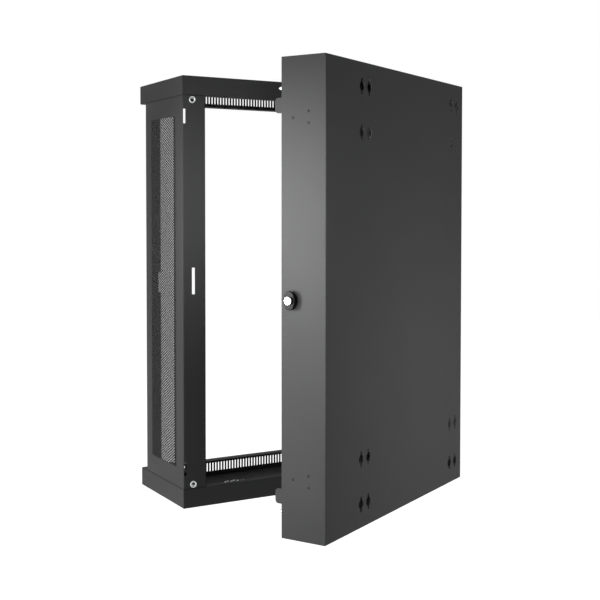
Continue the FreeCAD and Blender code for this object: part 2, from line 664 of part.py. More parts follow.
def cap(end):
    """A cap tray with a slotted front flange, fan vents and a lip all round."""
    outer_face = end * TOP
    outer = block((-HALF_WIDTH, HALF_WIDTH), (FRONT, BACK), (end * CAP_EDGE, outer_face))
    outer = round_edges(outer, FOLD_RADIUS, lambda p: abs(p.z - outer_face) < 0.01)
    inner = block((-INNER, INNER), (FRONT + SHEET, BACK - SHEET),
                  (end * (CAP_EDGE + SHEET), end * (TOP - SHEET)))
    mouth = block((-HALF_WIDTH + CAP_LIP, HALF_WIDTH - CAP_LIP), (FRONT + CAP_FRONT_LIP, BACK - CAP_LIP),
                  (end * (CAP_EDGE - 1), end * (CAP_EDGE + 2 * SHEET)))
    cutters = [inner, mouth]
    slots = int((WIDTH - 2 * STRIP_MARGIN) // STRIP_SLOT_PITCH)
    middle = end * (TOP - CAP_HEIGHT / 2)
    for index in range(slots):
        x = (index - (slots - 1) / 2) * STRIP_SLOT_PITCH
        cutters.append(block((x - STRIP_SLOT_WIDTH / 2, x + STRIP_SLOT_WIDTH / 2),
                             (FRONT - 1, FRONT + 2 * SHEET),
                             (middle - STRIP_SLOT_HEIGHT / 2, middle + STRIP_SLOT_HEIGHT / 2)))
    below = end * (TOP - 2 * SHEET)
    start = min(below, end * (TOP + 1))
    depth = 2 * SHEET + 1
    for fan_x, fan_y in fan_centres():
        def inside(x, y):
            return math.hypot(x - fan_x, y - fan_y) < FAN_VENT_RADIUS
        span = FAN_VENT_RADIUS + FAN_VENT_PITCH
        for x, y in hex_field((fan_x - span, fan_x + span), (fan_y - span, fan_y + span),
                              FAN_VENT_PITCH, FAN_VENT_HOLE, inside):
            cutters.append(prism(FAN_VENT_HOLE, 6, Vector(x, y, start), Z_AXIS, depth, math.pi / 6))
        for step_x in (-FAN_BOLT_SQUARE / 2, FAN_BOLT_SQUARE / 2):
            for step_y in (-FAN_BOLT_SQUARE / 2, FAN_BOLT_SQUARE / 2):
                cutters.append(rod(FAN_SCREW_RADIUS, Vector(fan_x + step_x, fan_y + step_y, start),
                                   Z_AXIS, depth))
    hole_start = end * (CAP_EDGE - 1)
    for x, y in cap_screw_places():
        cutters.append(rod(RIVET_RADIUS + FASTENER_CLEARANCE, Vector(x, y, hole_start), Z_AXIS * end, 6))
    cutters.append(rod(DOOR_PIN_RADIUS + RUNNING_CLEARANCE, Vector(DOOR_AXIS.x, DOOR_AXIS.y, hole_start),
                       Z_AXIS * end, 6))
    return outer.cut(cutters)


def side_frame():
    """The lock side's folded side: web with a perforated window, front and rear flanges."""
    inner_x = HALF_WIDTH - COLUMN_WIDTH
    front_x = HALF_WIDTH - FRONT_FLANGE
    outline = [
        Vector(inner_x, BACK - COLUMN_RETURN, 0), Vector(inner_x, BACK, 0),
        Vector(HALF_WIDTH, BACK, 0), Vector(HALF_WIDTH, SIDE_FRONT, 0),
        Vector(front_x, SIDE_FRONT, 0), Vector(front_x, SIDE_FRONT + COLUMN_RETURN, 0),
        Vector(front_x + SHEET, SIDE_FRONT + COLUMN_RETURN, 0), Vector(front_x + SHEET, SIDE_FRONT + SHEET, 0),
        Vector(INNER, SIDE_FRONT + SHEET, 0), Vector(INNER, BACK - SHEET, 0),
        Vector(inner_x + SHEET, BACK - SHEET, 0), Vector(inner_x + SHEET, BACK - COLUMN_RETURN, 0),
    ]
    frame = extruded(outline, 2 * CAP_EDGE)
    frame.translate(Vector(0, 0, -CAP_EDGE))
    frame = round_edges(frame, FOLD_RADIUS, lambda p: abs(p.x - HALF_WIDTH) < 0.01 and abs(p.z) < 1)
    flange_y = (SIDE_FRONT + SHEET, BACK - SHEET)
    ends = [block((HALF_WIDTH - COLUMN_END_FLANGE, INNER), flange_y, (end * (CAP_EDGE - SHEET), end * CAP_EDGE))
            for end in (-1, 1)]
    frame = frame.fuse(ends)
    window_y = (BACK - WINDOW_FRONT, BACK - WINDOW_REAR)
    window_z = (-TOP + WINDOW_END, TOP - WINDOW_END)
    wall = 3 * SHEET
    cutters = [prism(WINDOW_HOLE, 6, Vector(HALF_WIDTH - 2 * SHEET, y, z), X_AXIS, wall, 0)
               for y, z in hex_field(window_y, window_z, WINDOW_PITCH, WINDOW_HOLE, lambda y, z: True)]
    cam_x = HALF_WIDTH - CAM_INSET
    cutters.append(block((cam_x - CAM_SLOT_WIDTH / 2, cam_x + CAM_SLOT_WIDTH / 2),
                         (BACK - 2 * SHEET, BACK + 1),
                         (LOCK_LIFT - CAM_SLOT_BELOW, LOCK_LIFT + CAM_SLOT_ABOVE)))
    cutters.append(block((front_x - 1, front_x + 2 * SHEET), (SIDE_FRONT + SHEET, SIDE_FRONT + 2 * COLUMN_RETURN),
                         (-DOOR_CAM_NOTCH_BELOW, DOOR_CAM_NOTCH_ABOVE)))
    for end in (-1, 1):
        middle = end * TAB_RISE
        cutters.append(block((INNER - TAB_SLOT_WIDTH, INNER), (BACK - SHEET, BACK + 1),
                             (middle - TAB_SLOT_HEIGHT / 2, middle + TAB_SLOT_HEIGHT / 2)))
        ring = Vector(HALF_WIDTH - PIN_INSET, BACK + 1, end * (TOP - PIN_DROP))
        cutters.append(rod(RING_BODY_RADIUS + FASTENER_CLEARANCE, ring, -Y_AXIS, wall))
        for x, y in cap_screw_places():
            if x > 0:
                cutters.append(rod(RIVET_RADIUS + FASTENER_CLEARANCE,
                                   Vector(x, y, end * (CAP_EDGE + 1)), Z_AXIS * -end, 6))
    return frame.cut(cutters)


def hinge_side_frame():
    """The hinge side's folded side: the other's mirror image with its hinge rivet holes."""
    holes = [rod(RIVET_RADIUS + FASTENER_CLEARANCE, Vector(-HALF_WIDTH - 1, y, z), X_AXIS, 3 * SHEET)
             for y, z in main_hinge_rivets_yz()]
    return mirrored(side_frame(), X_AXIS).cut(holes)


def ring_inserts():
    """Zinc ring inserts in the rear flanges."""
    rings = []
    for side in (-1, 1):
        for end in (-1, 1):
            seat = Vector(side * (HALF_WIDTH - PIN_INSET), BACK, end * (TOP - PIN_DROP))
            flange = rod(RING_OUTER_RADIUS, seat, Y_AXIS, RING_FLANGE)
            body = rod(RING_BODY_RADIUS, seat, -Y_AXIS, RING_BODY)
            bore = rod(RING_BORE_RADIUS, seat + Y_AXIS * 2, -Y_AXIS, RING_BODY + 4)
            rings.append(flange.fuse(body).cut(bore))
    return rings


def main_hinge_leaves():
    """The upper halves of the hinges, on the main cabinet."""
    halves = []
    for end in (-1, 1):
        centre = end * HINGE_RISE
        holes = [rod(RIVET_RADIUS + FASTENER_CLEARANCE, Vector(-HALF_WIDTH - 9, y, z), X_AXIS, 20)
                 for y, z in hinge_rivet_places(HINGE_AXIS.y, -1, centre)]
        halves.append(hinge_half(centre, True, -1).cut(holes))
    return halves


def main_hinge_rivets():
    """Rivets of the leaves on the main cabinet."""
    face = -HALF_WIDTH - HINGE_LEAF_SHEET
    return [rivet(Vector(face, y, z), X_AXIS, SHEET + HINGE_LEAF_SHEET) for y, z in main_hinge_rivets_yz()]


def support_heights():
    """Lower edges of the rail supports, low and high."""
    low = -CAP_EDGE + SUPPORT_MARGIN
    return [low, -low - SUPPORT_HEIGHT]


def rail_bolt_places():
    """Bolts between a rail and its supports, as y and z."""
    y_middle = RAIL_FACE + RAIL_SIDE_FLANGE / 2
    return [(y_middle + step, low + SUPPORT_HEIGHT / 2)
            for low in support_heights() for step in (-RAIL_BOLT_INSET, RAIL_BOLT_INSET)]


def end_rivet_places():
    """Where rivets join a support to the two returns of the lock side's frame."""
    rear = (HALF_WIDTH - COLUMN_WIDTH - SHEET, BACK - COLUMN_RETURN / 2)
    front = (HALF_WIDTH - FRONT_FLANGE - SHEET, SIDE_FRONT + COLUMN_RETURN / 2)
    return [Vector(x, y, low + SUPPORT_HEIGHT / 2) for low in support_heights() for x, y in (rear, front)]


def rail_supports():
    """Channels from front to rear inside the lock side, one low and one high."""
    face = HALF_WIDTH - COLUMN_WIDTH
    foot = HALF_WIDTH - FRONT_FLANGE
    jog = SIDE_FRONT + COLUMN_RETURN + SUPPORT_JOG_GAP
    supports = []
    for low in support_heights():
        high = low + SUPPORT_HEIGHT
        web = block((face - SHEET, face), (jog, BACK - SHEET - 1), (low, high))
        step = block((face - SHEET, foot), (jog, jog + SHEET), (low, high))
        end = block((foot - SHEET, foot), (SIDE_FRONT + SHEET + 1, jog + SHEET), (low, high))
        legs = [block((face, face + SUPPORT_LEG), (jog, BACK - COLUMN_RETURN - 1), (edge, edge + SHEET))
                for edge in (low, high - SHEET)]
        holes = [rod(RAIL_BOLT_RADIUS + FASTENER_CLEARANCE, Vector(face - 10, y, z), X_AXIS, 20)
                 for y, z in rail_bolt_places()]
        holes += [rod(RIVET_RADIUS + FASTENER_CLEARANCE, place - X_AXIS * 2, X_AXIS, 4 * SHEET)
                  for place in end_rivet_places()]
        supports.append(web.fuse([step, end] + legs).cut(holes))
    return supports


def rack_rail():
    """The lock side's 19 inch rail: an angle with square holes in its face."""
    rail = extruded([
        Vector(RACK_OPENING / 2, RAIL_FACE, 0), Vector(RAIL_OUTER, RAIL_FACE, 0),
        Vector(RAIL_OUTER, RAIL_FACE + RAIL_SIDE_FLANGE, 0),
        Vector(RAIL_OUTER - RAIL_SHEET, RAIL_FACE + RAIL_SIDE_FLANGE, 0),
        Vector(RAIL_OUTER - RAIL_SHEET, RAIL_FACE + RAIL_SHEET, 0),
        Vector(RACK_OPENING / 2, RAIL_FACE + RAIL_SHEET, 0),
    ], RAIL_HEIGHT)
    rail = round_edges(rail, FOLD_RADIUS, lambda p: abs(p.x - RAIL_OUTER) < 0.01
                       and abs(p.y - RAIL_FACE) < 0.01)
    rail.translate(Vector(0, 0, -RAIL_HEIGHT / 2))
    half = RACK_HOLE / 2
    x = RACK_OPENING / 2 + RACK_HOLE_MARGIN
    low = -RACK_UNITS * RACK_UNIT / 2
    cutters = []
    for unit in range(RACK_UNITS):
        for offset in RACK_HOLE_OFFSETS:
            z = low + unit * RACK_UNIT + offset
            cutters.append(block((x - half, x + half), (RAIL_FACE - 1, RAIL_FACE + 2 * RAIL_SHEET),
                                 (z - half, z + half)))
    cutters += [rod(RAIL_BOLT_RADIUS + FASTENER_CLEARANCE, Vector(RAIL_OUTER - 10, y, z), X_AXIS, 20)
                for y, z in rail_bolt_places()]
    return rail.cut(cutters)


def rail_bolts():
    """Bolts that hold both rails to their supports."""
    bolts = []
    for y, z in rail_bolt_places():
        bolt = screw(Vector(RAIL_OUTER - RAIL_SHEET, y, z), X_AXIS, RAIL_BOLT_RADIUS, RAIL_BOLT_HEAD, 9.0)
        bolts += [bolt, mirrored(bolt, X_AXIS)]
    return bolts


def support_rivets():
    """Rivets that hold the supports to the side frames."""
    rivets = []
    for place in end_rivet_places():
        one = rivet(place, X_AXIS, 2 * SHEET)
        rivets += [one, mirrored(one, X_AXIS)]
    return rivets


def column_rivet_holes():
    """Holes for the support rivets through the lock side frame's returns."""
    return [rod(RIVET_RADIUS + FASTENER_CLEARANCE, place - X_AXIS * 2, X_AXIS, 4 * SHEET)
            for place in end_rivet_places()]


def cap_screws():
    """Screws that hold the caps to the side frames."""
    face = CAP_EDGE - SHEET
    return [screw(Vector(x, y, end * face), Z_AXIS * end, RIVET_RADIUS, RIVET_HEAD_RADIUS, 2 * SHEET + 3)
            for end in (-1, 1) for x, y in cap_screw_places()]


# ---------------------------------------------------------------- front door

DOOR_X = (-HALF_WIDTH + DOOR_SIDE_GAP, HALF_WIDTH - DOOR_SIDE_GAP)
DOOR_Z = CAP_EDGE - DOOR_END_GAP
WINDOW_X = HALF_WIDTH - DOOR_SIDE_GAP - DOOR_STILE
WINDOW_Z = DOOR_Z - DOOR_RAIL


def clip_places():
    """Glass clips round the window: middle on the glass's edge, and outward direction."""
    edge_x = WINDOW_X + GLASS_LAP
    edge_z = WINDOW_Z + GLASS_LAP
    seat = DOOR_FACE + SHEET
    places = [(Vector(side * edge_x, seat, step * edge_z), Vector(side, 0, 0))
              for side in (-1, 1) for step in (-0.8, -0.3, 0.3, 0.8)]
    places += [(Vector(step * edge_x, seat, end * edge_z), Vector(0, 0, end))
               for end in (-1, 1) for step in (-0.6, 0.6)]
    return places


def door_frame():
    """The door's folded steel frame with its window, lock hole and pin holes."""
    outer = block(DOOR_X, (DOOR_FACE, DOOR_FACE + DOOR_DEPTH), (-DOOR_Z, DOOR_Z))
    outer = round_edges(outer, FOLD_RADIUS, lambda p: abs(p.y - DOOR_FACE) < 0.01)
    inner = block((DOOR_X[0] + SHEET, DOOR_X[1] - SHEET), (DOOR_FACE + SHEET, DOOR_FACE + DOOR_DEPTH + 1),
                  (-DOOR_Z + SHEET, DOOR_Z - SHEET))
    window = block((-WINDOW_X, WINDOW_X), (DOOR_FACE - 1, DOOR_FACE + 2 * SHEET), (-WINDOW_Z, WINDOW_Z))
    lock_hole = rod(LOCK_BARREL_RADIUS + FASTENER_CLEARANCE, DOOR_LOCK_MIDDLE - Y_AXIS, Y_AXIS, 4 * SHEET)
    pin_hole = rod(DOOR_PIN_RADIUS + FASTENER_CLEARANCE, Vector(DOOR_AXIS.x, DOOR_AXIS.y, -TOP), Z_AXIS, HEIGHT)
    return outer.cut([inner, window, lock_hole, pin_hole])


def door_glass():
    """The glass behind the window."""
    x = WINDOW_X + GLASS_LAP
    z = WINDOW_Z + GLASS_LAP
    return block((-x, x), (DOOR_FACE + SHEET, DOOR_FACE + SHEET + GLASS), (-z, z))


def glass_clips():
    """Z shaped clips screwed to the door that lap over the glass."""
    top = GLASS + CLIP_SHEET
    lap = GLASS_LAP - 1.0
    outline = [
        Vector(CLIP_GAP, 0, 0), Vector(CLIP_FOOT, 0, 0), Vector(CLIP_FOOT, CLIP_SHEET, 0),
        Vector(CLIP_GAP + CLIP_SHEET, CLIP_SHEET, 0), Vector(CLIP_GAP + CLIP_SHEET, top, 0),
        Vector(-lap, top, 0), Vector(-lap, GLASS, 0), Vector(CLIP_GAP, GLASS, 0),
    ]
    clips = []
    for middle, outward in clip_places():
        clip = extruded(outline, CLIP_LENGTH)
        clip.translate(Vector(0, 0, -CLIP_LENGTH / 2))
        hole = rod(RIVET_RADIUS + FASTENER_CLEARANCE, Vector(clip_screw_reach(), -1, 0), Y_AXIS, 3 * CLIP_SHEET)
        clip = clip.cut(hole)
        clip.Placement = Placement(middle, Rotation(outward, Y_AXIS, outward.cross(Y_AXIS), "XYZ"))
        clips.append(clip)
    return clips


def clip_screw_reach():
    """Distance of a clip's screw from the glass's edge."""
    return (CLIP_GAP + CLIP_SHEET + CLIP_FOOT) / 2


def clip_screws():
    """Screws of the glass clips."""
    return [screw(middle + outward * clip_screw_reach() + Y_AXIS * CLIP_SHEET, -Y_AXIS,
                  RIVET_RADIUS, RIVET_HEAD_RADIUS, CLIP_SHEET)
            for middle, outward in clip_places()]


def door_hinge_blocks():
    """Blocks in the door's hinge corners that guide the pins."""
    blocks = []
    for end in (-1, 1):
        top = end * (DOOR_Z - SHEET)
        low = top - end * DOOR_BLOCK_HEIGHT
        body = block((DOOR_X[0] + SHEET, DOOR_AXIS.x + DOOR_BLOCK_RADIUS),
                     (DOOR_FACE + SHEET, DOOR_AXIS.y + DOOR_BLOCK_RADIUS), (low, top))
        body = round_edges(body, 3.0, lambda p: p.x > DOOR_AXIS.x and p.y > DOOR_AXIS.y and abs(p.z - (low + top) / 2) < 1)
        bore = rod(DOOR_PIN_RADIUS + FASTENER_CLEARANCE, Vector(DOOR_AXIS.x, DOOR_AXIS.y, low - end), Z_AXIS * end,
                   DOOR_BLOCK_HEIGHT + 2)
        blocks.append(body.cut(bore))
    return blocks


def door_hinge_pins():
    """Hinge pins that reach from the door into the caps' lips, each with a thumb collar."""
    pins = []
    for end in (-1, 1):
        tip = end * (CAP_EDGE + SHEET + DOOR_PIN_REACH)
        low = end * (DOOR_Z - SHEET - DOOR_BLOCK_HEIGHT)
        length = abs(tip - low) + 6.0
        pin = rod(DOOR_PIN_RADIUS, Vector(DOOR_AXIS.x, DOOR_AXIS.y, tip), Z_AXIS * -end, length)
        collar = rod(DOOR_PIN_RADIUS + 2.0, Vector(DOOR_AXIS.x, DOOR_AXIS.y, low), Z_AXIS * -end, 3.0)
        pins.append(pin.fuse(collar))
    return pins


def door_cam_plane():
    """Depth of the door cam's mid plane behind the door's outer face."""
    return SIDE_FRONT + SHEET + DOOR_CAM_CLEARANCE + CAM_SHEET / 2 - DOOR_FACE


def main():
    """Build every node and write it."""
    os.makedirs("parts", exist_ok=True)
    save("wall_pan", [wall_pan()])
    save("cable_cover_top", [lifted(cable_cover(1))])
    save("cable_cover_bottom", [lifted(cable_cover(-1))])
    save("cable_cover_screws", [lifted(one) for one in cable_cover_screws()])
    save("guide_tab_top", [guide_tab(1)])
    save("guide_tab_bottom", [guide_tab(-1)])
    save("guide_tab_rivets", guide_tab_rivets())
    save("locating_pins", locating_pins())
    save("rim_bumpers", rim_bumpers())
    save("wall_hinge_leaves", wall_hinge_leaves())
    save("hinge_pins", hinge_pins())
    save("wall_hinge_rivets", wall_hinge_rivets())
    save("wall_earth_stud", [lifted(earth_stud(Vector(-INNER, RIM / 2, -TOP + 60), X_AXIS))])

    save("rear_lock_housing", [on_side(lock_housing())])
    save("rear_lock_nut", [on_side(lock_nut())])
    rear_end = CAM_INSET + CAM_SHEET / 2 + CAM_NUT
    save("rear_lock_plug", [on_side(lock_plug(rear_end))])
    save("rear_lock_knob", [on_side(lock_knob())])
    save("rear_lock_cam", [on_side(lock_cam(CAM_INSET, CAM_LENGTH, CAM_HOOK))])
    save("rear_lock_cam_nut", [on_side(cam_nut(CAM_INSET))])

    lock_frame = side_frame().cut(column_rivet_holes())
    hinge_frame = hinge_side_frame().cut([mirrored(hole, X_AXIS) for hole in column_rivet_holes()])
    save("top_cap", [swing(cap(1))])
    save("bottom_cap", [swing(cap(-1))])
    save("side_frame_lock", [swing(lock_frame)])
    save("side_frame_hinge", [swing(hinge_frame)])
    save("ring_inserts", [swing(ring) for ring in ring_inserts()])
    save("main_hinge_leaves", [swing(half) for half in main_hinge_leaves()])
    save("main_hinge_rivets", [swing(one) for one in main_hinge_rivets()])
    save("rack_rail_lock", [swing(rack_rail())])
    save("rack_rail_hinge", [swing(mirrored(rack_rail(), X_AXIS))])
    save("rail_supports_lock", [swing(one) for one in rail_supports()])
    save("rail_supports_hinge", [swing(mirrored(one, X_AXIS)) for one in rail_supports()])
    save("rail_bolts", [swing(one) for one in rail_bolts()])
    save("support_rivets", [swing(one) for one in support_rivets()])
    save("cap_screws", [swing(one) for one in cap_screws()])
    save("main_earth_stud", [swing(earth_stud(Vector(-INNER, BACK - 18, -TOP + 60), X_AXIS))])

    save("door_frame", [swing_door(door_frame())])
    save("door_glass", [swing_door(door_glass())])
    save("glass_clips", [swing_door(one) for one in glass_clips()])
    save("clip_screws", [swing_door(one) for one in clip_screws()])
    save("door_hinge_blocks", [swing_door(one) for one in door_hinge_blocks()])
    save("door_hinge_pins", [swing_door(one) for one in door_hinge_pins()])
    save("door_lock_housing", [swing_door(on_door(lock_housing()))])
    save("door_lock_nut", [swing_door(on_door(lock_nut()))])
    plane = door_cam_plane()
    door_end = plane + CAM_SHEET / 2 + CAM_NUT
    save("door_lock_plug", [swing_door(on_door(lock_plug(door_end)))])
    save("door_lock_knob", [swing_door(on_door(lock_knob()))])
    save("door_lock_cam", [swing_door(on_door(lock_cam(plane, DOOR_CAM_LENGTH, 0)))])
    save("door_lock_cam_nut", [swing_door(on_door(cam_nut(plane)))])


main()
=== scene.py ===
"""Dresses the two-section wall cabinet: finishes, fine perforations, fasteners and studio.

Sizes are in millimetres and every mesh is built closed, in the cabinet's own frame:
the wall plane is y = 0 and faces +Y, +Z is up, and the front faces -Y. A placing
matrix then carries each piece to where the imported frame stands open.
"""

import json
import logging
import math
from dataclasses import dataclass, field
from enum import Enum
from typing import Any, Optional, Sequence, Union

import bmesh
import bpy
from mathutils import Matrix, Vector


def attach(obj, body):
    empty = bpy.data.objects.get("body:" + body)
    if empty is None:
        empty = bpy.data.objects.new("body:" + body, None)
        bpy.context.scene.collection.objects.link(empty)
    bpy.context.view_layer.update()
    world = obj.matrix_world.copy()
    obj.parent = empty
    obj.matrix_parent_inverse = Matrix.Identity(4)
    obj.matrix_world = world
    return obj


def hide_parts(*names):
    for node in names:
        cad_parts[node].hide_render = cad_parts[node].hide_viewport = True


LOG = logging.getLogger("cabinet")
MM = 0.001
PAST = 1.0                       # how far a cutting box passes the face that it opens
UP = Vector((0, 0, 1))
WHITE = (1.0, 1.0, 1.0, 1.0)
Colour = tuple[float, float, float]
Place = tuple[float, float, float]
Span = tuple[float, float]


class Body(Enum):
    """The bodies that the made pieces ride on."""

    WALL = "wall_section"
    MAIN = "main_cabinet"


class Slot(Enum):
    """The record's material slots that the pieces are dressed from."""

    POWDER = "powder_coat"
    FASTENER = "black_fastener"
    ZINC = "zinc"
    CHROME = "chrome"
    LOCK = "lock_black"
    RUBBER = "rubber"
    GLASS = "glass"


# ------------------------------------------------------------------ node trees

class Wire:
    """An output socket that takes part in arithmetic."""

    def __init__(self, tree: "Tree", socket: bpy.types.NodeSocket) -> None:
        """Keep the tree and the socket."""
        self.tree = tree
        self.socket = socket

    def _math(self, operation: str, other: Any, swapped: bool = False) -> "Wire":
        """Join this wire and another value with a Math node."""
        first, second = (other, self) if swapped else (self, other)
        return self.tree.add("ShaderNodeMath", {"operation": operation}, {0: first, 1: second})

    def __add__(self, other: Any) -> "Wire":
        """Sum."""
        return self._math("ADD", other)

    def __radd__(self, other: Any) -> "Wire":
        """Reflected sum."""
        return self._math("ADD", other, True)

    def __sub__(self, other: Any) -> "Wire":
        """Difference."""
        return self._math("SUBTRACT", other)

    def __rsub__(self, other: Any) -> "Wire":
        """Reflected difference."""
        return self._math("SUBTRACT", other, True)

    def __mul__(self, other: Any) -> "Wire":
        """Product."""
        return self._math("MULTIPLY", other)

    def __truediv__(self, other: Any) -> "Wire":
        """Quotient."""
        return self._math("DIVIDE", other)

    def __mod__(self, other: Any) -> "Wire":
        """Remainder."""
        return self._math("MODULO", other)

    def __gt__(self, other: Any) -> "Wire":
        """One where this is greater."""
        return self._math("GREATER_THAN", other)

    def floor(self) -> "Wire":
        """Whole part."""
        return self._math("FLOOR", 0.0)

    def highest(self, other: Any) -> "Wire":
        """Greater of two values."""
        return self._math("MAXIMUM", other)


class Tree:
    """A node tree with one method that adds any node."""

    def __init__(self, tree: bpy.types.NodeTree) -> None:
        """Empty the tree and keep it."""
        tree.nodes.clear()
        self.tree = tree

    def node(self, kind: str, settings: Optional[dict[str, Any]] = None,
             values: Optional[dict[Union[int, str], Any]] = None) -> bpy.types.Node:
        """Add a node.

        Args:
            kind: The node's type.
            settings: Properties that are set before the sockets.
            values: A value or a Wire for each input, by name or place.

        Returns:
            The new node.
        """
        node = self.tree.nodes.new(kind)
        for name, value in (settings or {}).items():
            setattr(node, name, value)
        for key, value in (values or {}).items():
            socket = node.inputs[key]
            if isinstance(value, Wire):
                self.tree.links.new(value.socket, socket)
            else:
                socket.default_value = value
        return node

    def add(self, kind: str, settings: Optional[dict[str, Any]] = None,
            values: Optional[dict[Union[int, str], Any]] = None,
            output: Union[int, str] = 0) -> Wire:
        """Add a node and return one of its outputs as a Wire."""
        return Wire(self, self.node(kind, settings, values).outputs[output])

    def out(self, node: bpy.types.Node, output: Union[int, str] = 0) -> Wire:
        """One output of a node as a Wire."""
        return Wire(self, node.outputs[output])


def mixed_colour(tree: Tree, factor: Wire, low: Colour, high: Colour) -> Wire:
    """A colour between two others."""
    return tree.add("ShaderNodeMix", {"data_type": "RGBA"},
                    {0: factor, 6: (*low, 1.0), 7: (*high, 1.0)}, 2)


# -------------------------------------------------------------------- finishes

@dataclass(frozen=True)
class Finish:
    """A surface finish built from nodes on Object coordinates."""

    colour: Colour
    shade: float = 0.10          # colour swing over the surface
    roughness: float = 0.45
    swing: float = 0.08          # roughness swing
    metallic: float = 0.0
    patch: float = 6.0           # cloudiness, patches per metre
    grain: float = 900.0         # grains per metre
    relief: float = 0.15         # bump strength
    depth: float = 0.0002        # bump depth in metres
    ior: float = 1.5
    gloss: float = 0.5           # strength of the clear reflection
    patch_detail: float = 4.0
    grain_detail: float = 3.0
    patch_share: float = 0.6     # of the patches in the colour; the grain gives the rest
    contrast: float = 1.6        # of patches and grain in the colour

    def build(self, slot: Slot) -> bpy.types.Material:
        """Make the material.

        Args:
            slot: The slot that names it.

        Returns:
            The material.
        """
        material = bpy.data.materials.new(slot.value + "_finish")
        material.use_nodes = True
        tree = Tree(material.node_tree)
        point = tree.add("ShaderNodeTexCoord", output="Object")
        surface = self.surface(tree, point)
        tree.node("ShaderNodeOutputMaterial", values={"Surface": surface})
        return material

    def noise(self, tree: Tree, point: Wire, scale: float, detail: float) -> Wire:
        """A noise of the given scale, from 0 to 1."""
        return tree.add("ShaderNodeTexNoise", values={"Vector": point, "Scale": scale, "Detail": detail})

    def scaled(self, factor: float) -> Colour:
        """The colour made lighter or darker."""
        return tuple(min(1.0, part * factor) for part in self.colour)

    def grains(self, tree: Tree, point: Wire) -> Wire:
        """The height field behind the bump."""
        return self.noise(tree, point, self.grain, self.grain_detail)

    def surface(self, tree: Tree, point: Wire) -> Wire:
        """The shader: colour and roughness drift in patches, the grain gives the bump.

        Args:
            tree: The material's tree.
            point: Where the surface is sampled.

        Returns:
            The shader.
        """
        patches = self.noise(tree, point, self.patch, self.patch_detail)
        grains = self.grains(tree, point)
        drift = patches * self.patch_share + grains * (1 - self.patch_share)
        factor = (drift - 0.5) * self.contrast + 0.5
        colour = mixed_colour(tree, factor, self.scaled(1 - self.shade), self.scaled(1 + self.shade))
        rough = self.roughness + (patches - 0.5) * (2 * self.swing)
        bump = tree.add("ShaderNodeBump", values={
            "Strength": self.relief, "Distance": self.depth, "Height": grains})
        return tree.add("ShaderNodeBsdfPrincipled", values={
            "Base Color": colour, "Roughness": rough, "Metallic": self.metallic,
            "IOR": self.ior, "Specular IOR Level": self.gloss, "Normal": bump})


@dataclass(frozen=True)
class BrushedFinish(Finish):
    """Plated metal with drawn grain along Z."""

    grain_detail: float = 2.0
    drawn: float = 0.08          # grains along Z for each grain across it

    def grains(self, tree: Tree, point: Wire) -> Wire:
        """Noise that is stretched along the grain."""
        along = tree.add("ShaderNodeMapping", values={"Vector": point, "Scale": (1.0, 1.0, self.drawn)})
        return self.noise(tree, along, self.grain, self.grain_detail)


@dataclass(frozen=True)
class GlassFinish(Finish):
    """Clear toughened glass with a faint green body."""

    patch_detail: float = 3.0

    def surface(self, tree: Tree, point: Wire) -> Wire:
        """The shader: a thin smear of dust varies the roughness.

        Args:
            tree: The material's tree.
            point: Where the surface is sampled.

        Returns:
            The shader.
        """
        dust = self.noise(tree, point, self.patch, self.patch_detail)
        return tree.add("ShaderNodeBsdfPrincipled", values={
            "Base Color": (*self.colour, 1.0), "Roughness": dust * (2 * self.swing),
            "Transmission Weight": 1.0, "IOR": self.ior})


FINISHES: dict[Slot, Finish] = {
    Slot.POWDER: Finish((0.085, 0.085, 0.086), 0.10, 0.55, 0.04, patch=5.0, grain=700.0,
                        relief=0.30, gloss=0.02),
    Slot.FASTENER: Finish((0.010, 0.010, 0.011), 0.12, 0.40, 0.08, patch=60.0, grain=1500.0,
                          gloss=0.25),
    Slot.ZINC: BrushedFinish((0.66, 0.67, 0.68), 0.10, 0.34, 0.10, metallic=1.0, patch=120.0,
                             grain=2500.0, relief=0.12),
    Slot.CHROME: BrushedFinish((0.72, 0.72, 0.73), 0.05, 0.12, 0.05, metallic=1.0, patch=150.0,
                               grain=3000.0, relief=0.05),
    Slot.LOCK: Finish((0.006, 0.006, 0.007), 0.15, 0.34, 0.08, patch=90.0, grain=2200.0,
                      relief=0.2, gloss=0.10),
    Slot.RUBBER: Finish((0.018, 0.018, 0.018), 0.15, 0.78, 0.08, patch=150.0, grain=1800.0,
                        relief=0.3),
    Slot.GLASS: GlassFinish((0.93, 0.97, 0.95), roughness=0.0, swing=0.012, patch=12.0, ior=1.45),
}


class Palette:
    """Every finish, built once, and the dressing of CAD nodes with it."""

    def __init__(self) -> None:
        """Build the materials."""
        self.materials = {slot: finish.build(slot) for slot, finish in FINISHES.items()}

    def __getitem__(self, slot: Slot) -> bpy.types.Material:
        """The material of a slot."""
        return self.materials[slot]

    def dress(self, node: bpy.types.Object, slot: Slot) -> None:
        """Give a CAD node a finish."""
        node.data.materials.clear()
        node.data.materials.append(self[slot])


# ---------------------------------------------------------------------- meshes

def linked(name: str, data: bpy.types.ID) -> bpy.types.Object:
    """Put a new object in the scene's collection.

    Args:
        name: Its name.
        data: Its mesh, lamp or camera.

    Returns:
        The object.
    """
    thing = bpy.data.objects.new(name, data)
    bpy.context.scene.collection.objects.link(thing)
    return thing


def turned_to(axis: Vector) -> Matrix:
    """The rotation that takes +Z to an axis."""
    return UP.rotation_difference(axis).to_matrix().to_4x4()


